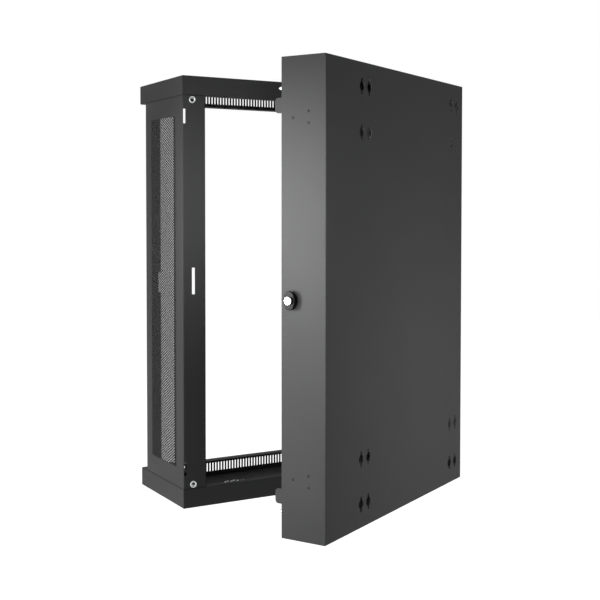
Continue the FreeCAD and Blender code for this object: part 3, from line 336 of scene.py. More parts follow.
def box_mesh(x_span: Span, y_span: Span, z_span: Span) -> bmesh.types.BMesh:
    """A closed box between two values on each axis.

    Args:
        x_span: Its ends along X, in either order.
        y_span: Its ends along Y.
        z_span: Its ends along Z.

    Returns:
        The mesh.
    """
    made = bmesh.new()
    bmesh.ops.create_cube(made, size=1.0)
    spans = [sorted(span) for span in (x_span, y_span, z_span)]
    for vertex in made.verts:
        vertex.co = Vector([low if part < 0 else high for part, (low, high) in zip(vertex.co, spans)])
    return made


def drum_mesh(radius: float, middle: Vector, axis: Vector, length: float,
              sides: int = 24) -> bmesh.types.BMesh:
    """A closed cylinder.

    Args:
        radius: Its radius.
        middle: The point that it is centred on.
        axis: The way that it points.
        length: Its whole length.
        sides: Steps round the axis.

    Returns:
        The mesh.
    """
    made = bmesh.new()
    bmesh.ops.create_cone(made, cap_ends=True, segments=sides, radius1=radius, radius2=radius,
                          depth=length)
    made.transform(Matrix.Translation(middle) @ turned_to(axis))
    return made


def lathe_mesh(profile: Sequence[tuple[float, float]], sides: int = 24) -> bmesh.types.BMesh:
    """A closed turned shape about Z.

    Args:
        profile: Radius and height of each step, from the foot's middle to the crown's middle.
        sides: Steps round the axis.

    Returns:
        The mesh, its faces pointing out.
    """
    made = bmesh.new()
    rings: list[list[bmesh.types.BMVert]] = []
    for radius, height in profile:
        if not radius:
            rings.append([made.verts.new((0, 0, height))])
            continue
        angles = [2 * math.pi * step / sides for step in range(sides)]
        rings.append([made.verts.new((radius * math.cos(angle), radius * math.sin(angle), height))
                      for angle in angles])
    for low, high in zip(rings, rings[1:]):
        for step in range(sides):
            corners = [low[step % len(low)], low[(step + 1) % len(low)],
                       high[(step + 1) % len(high)], high[step % len(high)]]
            loop = [corner for place, corner in enumerate(corners) if corner not in corners[:place]]
            made.faces.new(loop)
    return made


def joined(parts: Sequence[bmesh.types.BMesh]) -> bmesh.types.BMesh:
    """Put several meshes in one.

    Args:
        parts: The meshes, which are freed.

    Returns:
        The one mesh.
    """
    made = bmesh.new()
    for part in parts:
        mesh = bpy.data.meshes.new("part")
        part.to_mesh(mesh)
        part.free()
        made.from_mesh(mesh)
        bpy.data.meshes.remove(mesh)
    return made


def as_object(made: bmesh.types.BMesh, name: str, scale: float = MM) -> bpy.types.Object:
    """Make a linked object.

    Args:
        made: Its mesh, which is freed.
        name: Its name.
        scale: The size of the mesh's unit in metres, plainly millimetres.

    Returns:
        The object.
    """
    made.transform(Matrix.Scale(scale, 4))
    mesh = bpy.data.meshes.new(name)
    made.to_mesh(mesh)
    made.free()
    return linked(name, mesh)


def discard(thing: bpy.types.Object) -> None:
    """Remove an object and its mesh.

    Args:
        thing: The object.
    """
    mesh = thing.data
    bpy.data.objects.remove(thing)
    if mesh is not None:
        bpy.data.meshes.remove(mesh)


def evaluated(thing: bpy.types.Object) -> None:
    """Replace an object's mesh with its evaluated one and drop its modifiers.

    Args:
        thing: The object.
    """
    bpy.context.view_layer.update()
    graph = bpy.context.evaluated_depsgraph_get()
    mesh = bpy.data.meshes.new_from_object(thing.evaluated_get(graph), depsgraph=graph)
    old = thing.data
    thing.modifiers.clear()
    thing.data = mesh
    mesh.name = thing.name
    bpy.data.meshes.remove(old)


def carve(thing: bpy.types.Object, tools: bmesh.types.BMesh) -> None:
    """Cut tools out of an object.

    Args:
        thing: The object, in metres.
        tools: The tools in one mesh in millimetres, which is freed.
    """
    cutter = as_object(tools, "cutter")
    modifier = thing.modifiers.new("carve", "BOOLEAN")
    modifier.operation = "DIFFERENCE"
    modifier.solver = "EXACT"
    modifier.object = cutter
    evaluated(thing)
    discard(cutter)


def merged(things: Sequence[bpy.types.Object], name: str) -> bpy.types.Object:
    """Put the meshes of several objects in one.

    Args:
        things: The objects, which are removed.
        name: The name of the one object.

    Returns:
        The one object.
    """
    made = bmesh.new()
    for thing in things:
        made.from_mesh(thing.data)
        discard(thing)
    return as_object(made, name, 1.0)


# -------------------------------------------------------------- geometry trees

class Grower:
    """A Geometry Nodes tree with named inputs, used on one object and then applied."""

    NAME = "Grower"
    INPUTS: tuple[tuple[str, str], ...] = ()

    def __init__(self) -> None:
        """Build the tree."""
        group = bpy.data.node_groups.new(self.NAME, "GeometryNodeTree")
        face = group.interface
        self.keys = {"Geometry": face.new_socket("Geometry", in_out="INPUT",
                                                 socket_type="NodeSocketGeometry").identifier}
        for name, kind in self.INPUTS + (("Material", "NodeSocketMaterial"),):
            self.keys[name] = face.new_socket(name, in_out="INPUT", socket_type=kind).identifier
        face.new_socket("Geometry", in_out="OUTPUT", socket_type="NodeSocketGeometry")
        self.group = group
        self.tree = Tree(group)
        self.source = self.tree.node("NodeGroupInput")
        finished = self.tree.add("GeometryNodeSetMaterial", values={
            "Geometry": self.grow(), "Material": self.value("Material")})
        self.tree.node("NodeGroupOutput", values={"Geometry": finished})

    def value(self, name: str) -> Wire:
        """One of the group's inputs."""
        return self.tree.out(self.source, name)

    def grow(self) -> Wire:
        """The tree's geometry."""
        raise NotImplementedError

    def vector(self, x: Any = 0.0, y: Any = 0.0, z: Any = 0.0) -> Wire:
        """A vector from three values or wires."""
        return self.tree.add("ShaderNodeCombineXYZ", values={0: x, 1: y, 2: z})

    def copies(self, points: Wire, pattern: Wire, turn: Any = (0.0, 0.0, 0.0)) -> Wire:
        """Set a real copy of a pattern on each point.

        Args:
            points: The points.
            pattern: The pattern's geometry.
            turn: The turn of every copy, in radians about each axis.

        Returns:
            The copies.
        """
        placed = self.tree.add("GeometryNodeInstanceOnPoints", values={
            "Points": points, "Instance": pattern, "Rotation": turn})
        return self.tree.add("GeometryNodeRealizeInstances", values={"Geometry": placed})

    def apply(self, thing: bpy.types.Object, **inputs: Any) -> bpy.types.Object:
        """Run the tree on an object and keep the result as its mesh.

        Args:
            thing: The object that carries the tree.
            inputs: A value for each named input.

        Returns:
            The same object.
        """
        modifier = thing.modifiers.new(self.NAME, "NODES")
        modifier.node_group = self.group
        for name, value in inputs.items():
            modifier[self.keys[name]] = value
        evaluated(thing)
        return thing


class PerforatedSheet(Grower):
    """A sheet of six sided cells with a six sided hole in each, in the XY plane."""

    NAME = "PerforatedSheet"
    INPUTS = (("Pitch", "NodeSocketFloat"), ("Hole", "NodeSocketFloat"),
              ("Thickness", "NodeSocketFloat"), ("Columns", "NodeSocketInt"),
              ("Rows", "NodeSocketInt"), ("Reach", "NodeSocketFloat"))
    ROOT = math.sqrt(3)
    SIDES = 6
    WELD = 0.00002               # metres within which the corners of neighbouring cells join

    def ring(self, mesh: Wire, chosen: Optional[Wire], factor: Wire) -> tuple[Wire, Wire]:
        """Grow a ring of faces from an edge loop and scale its far side.

        Args:
            mesh: The mesh that has the loop.
            chosen: The loop's edges, or None for every edge.
            factor: How far out the far side lies, as a share of the loop's own distance.

        Returns:
            The mesh with the ring, and the ring's far edges.
        """
        values: dict[Union[int, str], Any] = {"Mesh": mesh, "Offset": self.vector()}
        if chosen:
            values["Selection"] = chosen
        grown = self.tree.node("GeometryNodeExtrudeMesh", {"mode": "EDGES"}, values)
        place = self.tree.add("GeometryNodeInputPosition")
        spread = self.tree.add("ShaderNodeVectorMath", {"operation": "MULTIPLY"},
                               {0: place, 1: self.vector(factor, factor, 1.0)})
        top = self.tree.out(grown, "Top")
        moved = self.tree.add("GeometryNodeSetPosition", values={
            "Geometry": self.tree.out(grown, "Mesh"), "Selection": top, "Position": spread})
        return moved, top

    def cell(self) -> Wire:
        """Build one cell: upper ring, hole wall and lower ring.

        Returns:
            The cell, open at its outer edges, where it meets its neighbours.
        """
        pitch, hole, thick = self.value("Pitch"), self.value("Hole"), self.value("Thickness")
        loop = self.tree.add("GeometryNodeMeshCircle", values={
            "Vertices": self.SIDES, "Radius": pitch / self.ROOT})
        raised = self.tree.add("GeometryNodeTransform", values={
            "Geometry": loop, "Translation": self.vector(0.0, 0.0, thick / 2)})
        upper, edge = self.ring(raised, None, hole / pitch)
        wall = self.tree.node("GeometryNodeExtrudeMesh", {"mode": "EDGES"}, {
            "Mesh": upper, "Selection": edge, "Offset": self.vector(0.0, 0.0, 0.0 - thick)})
        lower, _ = self.ring(self.tree.out(wall, "Mesh"), self.tree.out(wall, "Top"), pitch / hole)
        return lower

    def grow(self) -> Wire:
        """Set cells on a staggered lattice and keep those within the reach.

        Returns:
            The sheet.
        """
        pitch, columns, rows = self.value("Pitch"), self.value("Columns"), self.value("Rows")
        index = self.tree.add("GeometryNodeInputIndex")
        column = ((index + 0.5) / rows).floor()
        row = index - column * rows
        x = (column - (columns - 1.0) / 2) * pitch * (self.ROOT / 2)
        y = (row - (rows - 1.0) / 2 + (column % 2.0) / 2 - 0.25) * pitch
        points = self.tree.add("GeometryNodePoints", values={
            "Count": columns * rows, "Position": self.vector(x, y)})
        place = self.tree.add("GeometryNodeInputPosition")
        away = self.tree.add("ShaderNodeVectorMath", {"operation": "LENGTH"}, {0: place}, "Value")
        kept = self.tree.add("GeometryNodeDeleteGeometry", {"domain": "POINT"}, {
            "Geometry": points, "Selection": away > self.value("Reach")})
        return self.tree.add("GeometryNodeMergeByDistance", values={
            "Geometry": self.copies(kept, self.cell()), "Distance": self.WELD})


class SlotRow(Grower):
    """Cuts a row of round ended upright slots, spaced along X, through a wall that faces Y."""

    NAME = "SlotRow"
    INPUTS = (("Width", "NodeSocketFloat"), ("Height", "NodeSocketFloat"), ("Pitch", "NodeSocketFloat"),
              ("Count", "NodeSocketInt"), ("Depth", "NodeSocketFloat"), ("Middle", "NodeSocketVector"))
    ROUNDING = 0.499             # of the ends, as a share of the width
    STEPS = 3                    # in each quarter of an end
    WELD = 0.00001               # metres within which a tool's corners join

    def grow(self) -> Wire:
        """Cut the slots.

        Returns:
            The wall less the slots.
        """
        width, depth = self.value("Width"), self.value("Depth")
        frame = self.tree.add("GeometryNodeCurvePrimitiveQuadrilateral", {"mode": "RECTANGLE"},
                              {"Width": width, "Height": self.value("Height")})
        round_ends = self.tree.add("GeometryNodeFilletCurve", {"mode": "POLY"}, {
            "Curve": frame, "Count": self.STEPS, "Radius": width * self.ROUNDING})
        face = self.tree.add("GeometryNodeFillCurve", values={"Curve": round_ends})
        grown = self.tree.add("GeometryNodeExtrudeMesh", {"mode": "FACES"}, {
            "Mesh": face, "Offset": self.vector(0.0, 0.0, depth), "Individual": False})
        under = self.tree.add("GeometryNodeFlipFaces", values={"Mesh": face})
        both = self.tree.node("GeometryNodeJoinGeometry")
        self.tree.tree.links.new(grown.socket, both.inputs[0])
        self.tree.tree.links.new(under.socket, both.inputs[0])
        tool = self.tree.add("GeometryNodeMergeByDistance", values={
            "Geometry": self.tree.out(both), "Distance": self.WELD})
        tool = self.tree.add("GeometryNodeTransform", values={
            "Geometry": tool, "Translation": self.vector(0.0, 0.0, depth / -2.0)})
        count = self.value("Count")
        index = self.tree.add("GeometryNodeInputIndex")
        step = self.vector((index - (count - 1.0) / 2) * self.value("Pitch"))
        place = self.tree.add("ShaderNodeVectorMath", {"operation": "ADD"},
                              {0: step, 1: self.value("Middle")})
        points = self.tree.add("GeometryNodePoints", values={"Count": count, "Position": place})
        tools = self.copies(points, tool, (math.pi / 2, 0.0, 0.0))
        cut = self.tree.node("GeometryNodeMeshBoolean", {"operation": "DIFFERENCE", "solver": "EXACT"},
                             {"Mesh 1": self.value("Geometry"), "Mesh 2": tools})
        return self.tree.out(cut, "Mesh")


class FastenerSet(Grower):
    """Puts one fastener, given as an object along +Z, on each point of a mesh."""

    NAME = "FastenerSet"
    INPUTS = (("Fastener", "NodeSocketObject"), ("Turn", "NodeSocketVector"))

    def grow(self) -> Wire:
        """Set the fasteners, turned alike.

        Returns:
            The fasteners.
        """
        pattern = self.tree.add("GeometryNodeObjectInfo", values={0: self.value("Fastener")},
                                output="Geometry")
        return self.copies(self.value("Geometry"), pattern, self.value("Turn"))


class Workshop:
    """The geometry trees and the palette, shared by the sub-assemblies."""

    def __init__(self, palette: Palette) -> None:
        """Build the trees.

        Args:
            palette: The finishes.
        """
        self.palette = palette
        self.perforated = PerforatedSheet()
        self.slots = SlotRow()
        self.fasteners = FastenerSet()

    def perforation(self, pitch: float, hole: float, thick: float, columns: int, rows: int,
                    reach: float = 5000.0) -> bpy.types.Object:
        """Make a perforated sheet in the XY plane, its rows along Y.

        Args:
            pitch: Distance between the middles of two neighbouring holes.
            hole: Width of a hole across its flats.
            thick: Thickness of the sheet.
            columns: Cells along X.
            rows: Cells along Y.
            reach: Cells farther than this from the sheet's middle are left out.

        Returns:
            The sheet.
        """
        sheet = as_object(bmesh.new(), "perforation")
        return self.perforated.apply(sheet, Pitch=pitch * MM, Hole=hole * MM, Thickness=thick * MM,
                                     Columns=columns, Rows=rows, Reach=reach * MM)

    def fasten(self, name: str, nodes: Sequence[str], groups: Sequence[tuple[Sequence[Vector], Vector]],
               fastener: bpy.types.Object, placing: Matrix, body: Body, slot: Slot) -> None:
        """Place fasteners and let them stand for their CAD nodes.

        Args:
            name: The piece's name.
            nodes: The CAD nodes that it replaces.
            groups: Points in millimetres with the outward axis that each group shares.
            fastener: The pattern along +Z, its seat at z = 0.
            placing: Takes the closed cabinet's frame to the piece's place.
            body: The body that it rides on.
            slot: Its finish.
        """
        sets = []
        for points, axis in groups:
            carrier = bmesh.new()
            for point in points:
                carrier.verts.new(point)
            thing = as_object(carrier, name + "_set")
            turn = turned_to(axis).to_euler()
            sets.append(self.fasteners.apply(thing, Fastener=fastener, Turn=tuple(turn)))
        self.finish(merged(sets, name), placing, body, slot, nodes)

    def finish(self, piece: bpy.types.Object, placing: Matrix, body: Body, slot: Slot,
               nodes: Sequence[str], smooth: float = 35.0) -> None:
        """Carry a piece to its place, dress it and hand it to its body.

        Args:
            piece: The piece, in metres in the closed cabinet's frame.
            placing: The matrix that carries it to its place.
            body: The body that it rides on.
            slot: Its finish.
            nodes: The CAD nodes that it stands for.
            smooth: Faces that meet at less than this many degrees are shaded as one.
        """
        piece.data.transform(placing)
        piece.data.materials.clear()
        piece.data.materials.append(self.palette[slot])
        piece.data.polygons.foreach_set("material_index", [0] * len(piece.data.polygons))
        piece.data.shade_smooth()
        piece.data.set_sharp_from_angle(angle=math.radians(smooth))
        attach(piece, body.value)
        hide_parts(*nodes)
        LOG.info("%s on %s, %d faces", piece.name, body.value, len(piece.data.polygons))


# -------------------------------------------------------------- sub-assemblies

@dataclass
class Joints:
    """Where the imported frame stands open."""

    swing_axis: Vector
    swing_open: float            # radians

    @classmethod
    def from_frame(cls, joints: Sequence[dict[str, Any]]) -> "Joints":
        """Read the main hinge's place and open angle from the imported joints."""
        swing = next(joint for joint in joints if joint["name"] == "main_swing")
        return cls(Vector(swing["pos_m"]), math.radians(swing["range_deg"][1]))

    def wall(self) -> Matrix:
        """The wall section stands square, where it was drawn."""
        return Matrix.Identity(4)

    def main(self) -> Matrix:
        """Carry the closed main cabinet to where it stands open.

        Returns:
            The turn about the main hinge.
        """
        axis = Vector((self.swing_axis.x, self.swing_axis.y, 0))
        turn = Matrix.Rotation(-self.swing_open, 4, "Z")
        return Matrix.Translation(axis) @ turn @ Matrix.Translation(-axis)


@dataclass
class Fasteners:
    """Patterns for rivets and screws, each along +Z with its seat at z = 0."""

    rivet_radius: float = 3.6
    rivet_height: float = 1.3
    rivet_shank: float = 1.95
    rivet_length: float = 2.4
    rivet_sides: int = 20
    mandrel_radius: float = 1.1
    mandrel_rim: float = 1.35    # outer edge of the flat round the mandrel, in mandrel radii
    mandrel_floor: float = 0.45  # how high the mandrel's end lies, as a share of the head's height
    tab_rivet_radius: float = 2.7
    tab_rivet_height: float = 0.7
    screw_radius: float = 3.6
    screw_height: float = 1.6
    screw_shank: float = 1.95
    screw_length: float = 4.0
    recess_width: float = 0.8
    recess_reach: float = 1.9
    recess_depth: float = 1.1
    bolt_radius: float = 5.5
    bolt_height: float = 3.3
    bolt_shank: float = 2.95
    bolt_recess: float = 3.0
    # Shares of a head's radius and height, from its seat upward.
    dome: tuple[Span, ...] = ((1.0, 0.0), (1.0, 0.25), (0.86, 0.62), (0.62, 0.9))
    pan: tuple[Span, ...] = ((1.0, 0.0), (1.0, 0.35), (0.93, 0.66), (0.75, 0.9), (0.45, 1.0))

    def rivet(self) -> bpy.types.Object:
        """The hinge and support rivet."""
        return self.blind_rivet(self.rivet_radius, self.rivet_height)

    def tab_rivet(self) -> bpy.types.Object:
        """The small rivet of the guide tabs."""
        return self.blind_rivet(self.tab_rivet_radius, self.tab_rivet_height)

    def blind_rivet(self, radius: float, height: float) -> bpy.types.Object:
        """Make a blind rivet: a domed head with a sunk mandrel.

        Args:
            radius: Radius of the head.
            height: Height of the head.

        Returns:
            The rivet.
        """
        pin, floor = self.mandrel_radius, self.mandrel_floor * height
        shank, foot = self.rivet_shank, -self.rivet_length
        steps = [(0, foot), (shank, foot), (shank, 0.0),
                 *((across * radius, up * height) for across, up in self.dome),
                 (self.mandrel_rim * pin, height), (pin, height), (pin, floor), (0, floor)]
        return as_object(lathe_mesh(steps, self.rivet_sides), "rivet")

    def pan_head(self, radius: float, height: float, shank: float, recess: float) -> bpy.types.Object:
        """Make a pan head screw with a cross recess.

        Args:
            radius: Radius of the head.
            height: Height of the head.
            shank: Radius of the shank.
            recess: Reach of the recess from the middle.

        Returns:
            The screw.
        """
        foot = -self.screw_length
        steps = [(0, foot), (shank, foot), (shank, 0.0),
                 *((across * radius, up * height) for across, up in self.pan), (0, height)]
        head = as_object(lathe_mesh(steps), "screw")
        width, floor = self.recess_width * recess / self.recess_reach, height - self.recess_depth
        for x, y in ((recess, width), (width, recess)):
            carve(head, box_mesh((-x, x), (-y, y), (floor, height + PAST)))
        return head

    def screw(self) -> bpy.types.Object:
        """The small cabinet screw."""
        return self.pan_head(self.screw_radius, self.screw_height, self.screw_shank, self.recess_reach)

    def bolt(self) -> bpy.types.Object:
        """The rail bolt."""
        return self.pan_head(self.bolt_radius, self.bolt_height, self.bolt_shank, self.bolt_recess)


@dataclass
class WallSection:
    """The pan that is fixed to the wall, with its fittings."""

    half_width: float = 300.0
    pan_lift: float = 5.5
    tab_rivet_rise: float = 330.5
    tab_rivet_spread: float = 10.5
    tab_rivets_y: tuple[float, float] = (-37.0, -70.0)     # nearer the wall, nearer the rim
    hinge_rise: float = 330.0
    hinge_height: float = 26.0
    leaf: float = 1.6            # thickness of a hinge leaf
    hinge_rivets_y: tuple[float, float] = (-84.0, -73.0)
    cover_screws: tuple[float, float] = (115.0, 12.5)
    middle_y: float = -47.5
    top: float = 442.5

    def tab_rivets(self) -> list[Vector]:
        """Find the rivets of the guide tabs, three at each end.

        Returns:
            Their places on the lock side's outer face.
        """
        wall_y, rim_y = self.tab_rivets_y
        places = []
        for end in (-1, 1):
            middle = end * self.tab_rivet_rise + self.pan_lift
            places += [Vector((self.half_width, y, middle + step * self.tab_rivet_spread))
                       for y, step in ((wall_y, -1), (rim_y, 0), (wall_y, 1))]
        return places

    def hinge_rivets(self) -> list[Vector]:
        """Rivets of the hinge leaves, on the leaves' outer face."""
        return [Vector((-self.half_width - self.leaf, y, end * self.hinge_rise - self.hinge_height / 2))
                for end in (-1, 1) for y in self.hinge_rivets_y]

    def build(self, shop: Workshop, joints: Joints, fasteners: Fasteners) -> None:
        """Dress the wall section and set its fasteners.

        Args:
            shop: The shared trees.
            joints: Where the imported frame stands.
            fasteners: The patterns.
        """
        finishes = {
            "wall_pan": Slot.POWDER, "cable_cover_top": Slot.POWDER, "cable_cover_bottom": Slot.POWDER,
            "guide_tab_top": Slot.POWDER, "guide_tab_bottom": Slot.POWDER, "locating_pins": Slot.ZINC,
            "rim_bumpers": Slot.RUBBER, "wall_hinge_leaves": Slot.POWDER, "hinge_pins": Slot.ZINC,
            "wall_earth_stud": Slot.ZINC,
        }
        dress_nodes(shop.palette, finishes)
        place = joints.wall()
        rivet, screw, small = fasteners.rivet(), fasteners.screw(), fasteners.tab_rivet()
        shop.fasten("tab_rivet_heads", ["guide_tab_rivets"], [(self.tab_rivets(), Vector((1, 0, 0)))],
                    small, place, Body.WALL, Slot.FASTENER)
        shop.fasten("wall_hinge_rivet_heads", ["wall_hinge_rivets"],
                    [(self.hinge_rivets(), Vector((-1, 0, 0)))], rivet, place, Body.WALL, Slot.FASTENER)
        reach_x, reach_y = self.cover_screws
        groups = []
        for end in (-1, 1):
            height = end * self.top + self.pan_lift
            points = [Vector((x, self.middle_y + y, height)) for x in (-reach_x, reach_x)
                      for y in (-reach_y, reach_y)]
            groups.append((points, Vector((0, 0, end))))
        shop.fasten("cable_cover_screw_heads", ["cable_cover_screws"], groups, screw, place,
                    Body.WALL, Slot.FASTENER)
        for pattern in (rivet, screw, small):
            discard(pattern)


@dataclass
class MainCabinet:
    """The rack section: folded side frames, cap trays, rails and their fixings."""

    half_width: float = 300.0
    top: float = 442.5
    back: float = -97.0
    front: float = -327.0
    side_front: float = -297.0
    cap_edge: float = 402.5
    sheet: float = 1.5
    fold: float = 2.2            # outer radius of the folds
    fold_steps: int = 4
    seam: float = 1.2            # groove between a side frame and a cap
    column: float = 51.0
    front_flange: float = 28.0
    column_return: float = 15.0
    end_flange: float = 16.0
    cap_lip: float = 15.0
    cap_front_lip: float = 25.0
    window_y: Span = (-265.0, -133.0)
    window_z: float = 362.5
    window_thinning: float = 0.2     # of the perforated part against the sheet
    hole_pitch: float = 5.7
    hole: float = 4.5
    fan_offset: float = 110.0
    fan_radius: float = 52.0
    fan_sides: int = 72
    fan_square: float = 105.0
    fan_pitch: float = 8.8
    fan_hole: float = 6.5
    fan_thinning: float = 0.4
    fan_overlap: float = 1.5         # how far past the vent's edge its cells are kept
    fan_spare: int = 3               # cells beyond the vent's width
    fan_screw: float = 2.25
    fan_screw_sides: int = 16
    slot_width: float = 3.5
    slot_height: float = 20.0
    slot_pitch: float = 7.2
    slot_margin: float = 18.0
    slot_depth: float = 4.0
    cam_slot: tuple[float, float, float] = (7.0, -2.5, 52.0)     # width and both ends
    cam_inset: float = 23.5
    tab_rise: float = 360.0
    tab_slot: tuple[float, float] = (5.5, 29.5)     # width and height
    slot_edge: float = 0.1       # left on the web where a slot meets the fold
    drill: float = 8.0           # length of the round tools
    lip_drill: float = 6.0       # length of those through a cap's lip or an end flange
    cap_screw_hole: float = 2.1
    cap_screw_sides: int = 12
    cap_screw_setback: float = 40.0
    pin_inset: float = 22.0
    pin_drop: float = 49.0
    ring_hole: float = 5.6
    ring_bore: float = 3.75
    ring_sides: int = 32
    ring_body: tuple[float, float] = (5.5, 9.0)     # radius and length
    ring_profile: tuple[tuple[float, float], ...] = (
        (7.25, 0.0), (7.2, 0.4), (6.85, 0.8), (6.2, 0.98),
        (5.5, 1.0), (4.7, 0.84), (4.2, 0.5), (3.9, 0.0))
    notch: Span = (-10.0, 33.0)
    door_pin: tuple[float, float, float] = (-289.0, -315.0, 3.05)     # x, y and radius
    hinge_rise: float = 330.0
    hinge_height: float = 26.0
    leaf: float = 1.6            # thickness of a hinge leaf
    hinge_rivets_y: tuple[float, float] = (-108.0, -119.0)
    support_drop: float = 8.5    # from a side frame's end to the rail supports' fixings
    support_sheet: float = 2.0
    rail_setback: float = 170.0
    rail_bolt_y: float = 16.0
    rail_bolt_step: float = 8.0

    def folded_outline(self) -> tuple[list[Vector], list[Vector]]:
        """Trace the lock side frame's C section.

        Returns:
            Its outer and its inner points, in step with each other.
        """
        rear_x, front_x = self.half_width - self.column, self.half_width - self.front_flange
        path = [(rear_x, self.back - self.column_return), (rear_x, self.back),
                (self.half_width, self.back), (self.half_width, self.side_front),
                (front_x, self.side_front), (front_x, self.side_front + self.column_return)]
        points = [Vector((*point, 0)) for point in path]
        outer, inner = [], []
        for place, point in enumerate(points):
            before = (point - points[place - 1]).normalized() if place else None
            after = (points[place + 1] - point).normalized() if place < len(points) - 1 else None
            if before is None or after is None:
                along = after or before
                inward = Vector((along.y, -along.x, 0))
                outer.append(point)
                inner.append(point + inward * self.sheet)
                continue
            centre = point - before * self.fold + after * self.fold
            start = Vector((-before.y, before.x, 0))
            finish = Vector((-after.y, after.x, 0))
            for step in range(self.fold_steps + 1):
                angle = math.pi / 2 * step / self.fold_steps
                ray = start * math.cos(angle) + finish * math.sin(angle)
                outer.append(centre + ray * self.fold)
                inner.append(centre + ray * (self.fold - self.sheet))
        return outer, inner

    def side_blank(self) -> bpy.types.Object:
        """Fold the lock side frame's sheet, before any opening.

        Returns:
            The sheet, without its end flanges.
        """
        outer, inner = self.folded_outline()
        made = bmesh.new()
        reach = self.cap_edge - self.seam
        low = [[made.verts.new((p.x, p.y, -reach)) for p in line] for line in (outer, inner)]
        high = [[made.verts.new((p.x, p.y, reach)) for p in line] for line in (outer, inner)]
        for step in range(len(outer) - 1):
            made.faces.new([low[0][step], high[0][step], high[0][step + 1], low[0][step + 1]])
            made.faces.new([low[1][step], low[1][step + 1], high[1][step + 1], high[1][step]])
            made.faces.new([low[0][step], low[0][step + 1], low[1][step + 1], low[1][step]])
            made.faces.new([high[0][step], high[1][step], high[1][step + 1], high[0][step + 1]])
        for step in (0, len(outer) - 1):
            made.faces.new([low[0][step], low[1][step], high[1][step], high[0][step]])
        bmesh.ops.recalc_face_normals(made, faces=made.faces)
        return as_object(made, "side_blank")

    def cap_screw_places(self) -> list[tuple[float, float]]:
        """Screws between a cap and a side frame's end flange, as x and y."""
        x = self.half_width - self.end_flange / 2 - self.sheet
        return [(x, self.back - self.cap_screw_setback), (x, self.side_front + self.cap_screw_setback)]

    def cap_screw_drills(self, end: int, sides: Sequence[int]) -> list[bmesh.types.BMesh]:
        """Make tools for the cap screws' holes at one end.

        Args:
            end: 1 for the top, -1 for the bottom.
            sides: 1 for the lock side, -1 for the hinge side.

        Returns:
            The tools.
        """
        return [drum_mesh(self.cap_screw_hole, Vector((side * x, y, end * self.cap_edge)), UP,
                          self.lip_drill, self.cap_screw_sides)
                for x, y in self.cap_screw_places() for side in sides]

    def ring_seat(self, side: int, end: int) -> Vector:
        """Where a ring insert sits in the rear flange."""
        return Vector((side * (self.half_width - self.pin_inset), self.back,
                       end * (self.top - self.pin_drop)))

    def side_frame(self, shop: Workshop, name: str, side: int) -> bpy.types.Object:
        """A side frame with its perforated window.

        Args:
            shop: The shared trees.
            name: The piece's name.
            side: 1 for the lock side, -1 for its mirror image at the hinge side.

        Returns:
            The piece, in the closed cabinet's frame.
        """
        web = (self.half_width - 2 * self.sheet, self.half_width + PAST)
        flange = (self.back - 2 * self.sheet, self.back + PAST)
        cam_width, cam_low, cam_high = self.cam_slot
        cam_x = self.half_width - self.cam_inset
        slot_width, slot_height = self.tab_slot
        front_x = self.half_width - self.front_flange
        behind = (self.side_front + self.sheet, self.side_front + 2 * self.column_return)
        tools = [
            box_mesh(web, self.window_y, (-self.window_z, self.window_z)),
            box_mesh((cam_x - cam_width / 2, cam_x + cam_width / 2), flange, (cam_low, cam_high)),
            box_mesh((front_x - PAST, front_x + 2 * self.sheet), behind, self.notch),
        ]
        face_x = self.half_width - self.sheet
        for end in (-1, 1):
            middle = end * self.tab_rise
            tools.append(box_mesh((face_x - slot_width, face_x - self.slot_edge), flange,
                                  (middle - slot_height / 2, middle + slot_height / 2)))
            tools.append(drum_mesh(self.ring_hole, self.ring_seat(1, end), Vector((0, 1, 0)),
                                   self.drill))
        frame = self.side_blank()
        carve(frame, joined(tools))
        deep = self.back - self.sheet
        near = self.side_front + self.sheet
        ends = []
        for end in (-1, 1):
            span = (end * (self.cap_edge - self.sheet), end * self.cap_edge)
            blank = as_object(box_mesh((self.half_width - self.end_flange, face_x), (near, deep), span),
                              "flange")
            carve(blank, joined(self.cap_screw_drills(end, (1,))))
            ends.append(blank)
        whole = merged([frame, self.window_sheet(shop), *ends], name)
        if side < 0:
            mirror_across_x(whole)
        return whole

    def window_sheet(self, shop: Workshop) -> bpy.types.Object:
        """Make the staggered holes of a side window.

        Args:
            shop: The shared trees.

        Returns:
            The perforated part, in the lock side frame's web.
        """
        low, high = self.window_y
        columns = math.ceil((high - low) / (self.hole_pitch * PerforatedSheet.ROOT / 2)) + 1
        rows = math.ceil(2 * self.window_z / self.hole_pitch) + 1
        sheet = shop.perforation(self.hole_pitch, self.hole, self.sheet - self.window_thinning,
                                 columns, rows)
        upright = Matrix(((0, 0, 1, 0), (1, 0, 0, 0), (0, 1, 0, 0), (0, 0, 0, 1)))
        place = Vector((self.half_width - self.sheet / 2, (low + high) / 2, 0)) * MM
        sheet.data.transform(Matrix.Translation(place) @ upright)
        return sheet

    def fan_centres(self) -> list[tuple[float, float]]:
        """Middles of the fan vents in a cap."""
        middle = (self.back + self.front) / 2
        return [(-self.fan_offset, middle), (self.fan_offset, middle)]

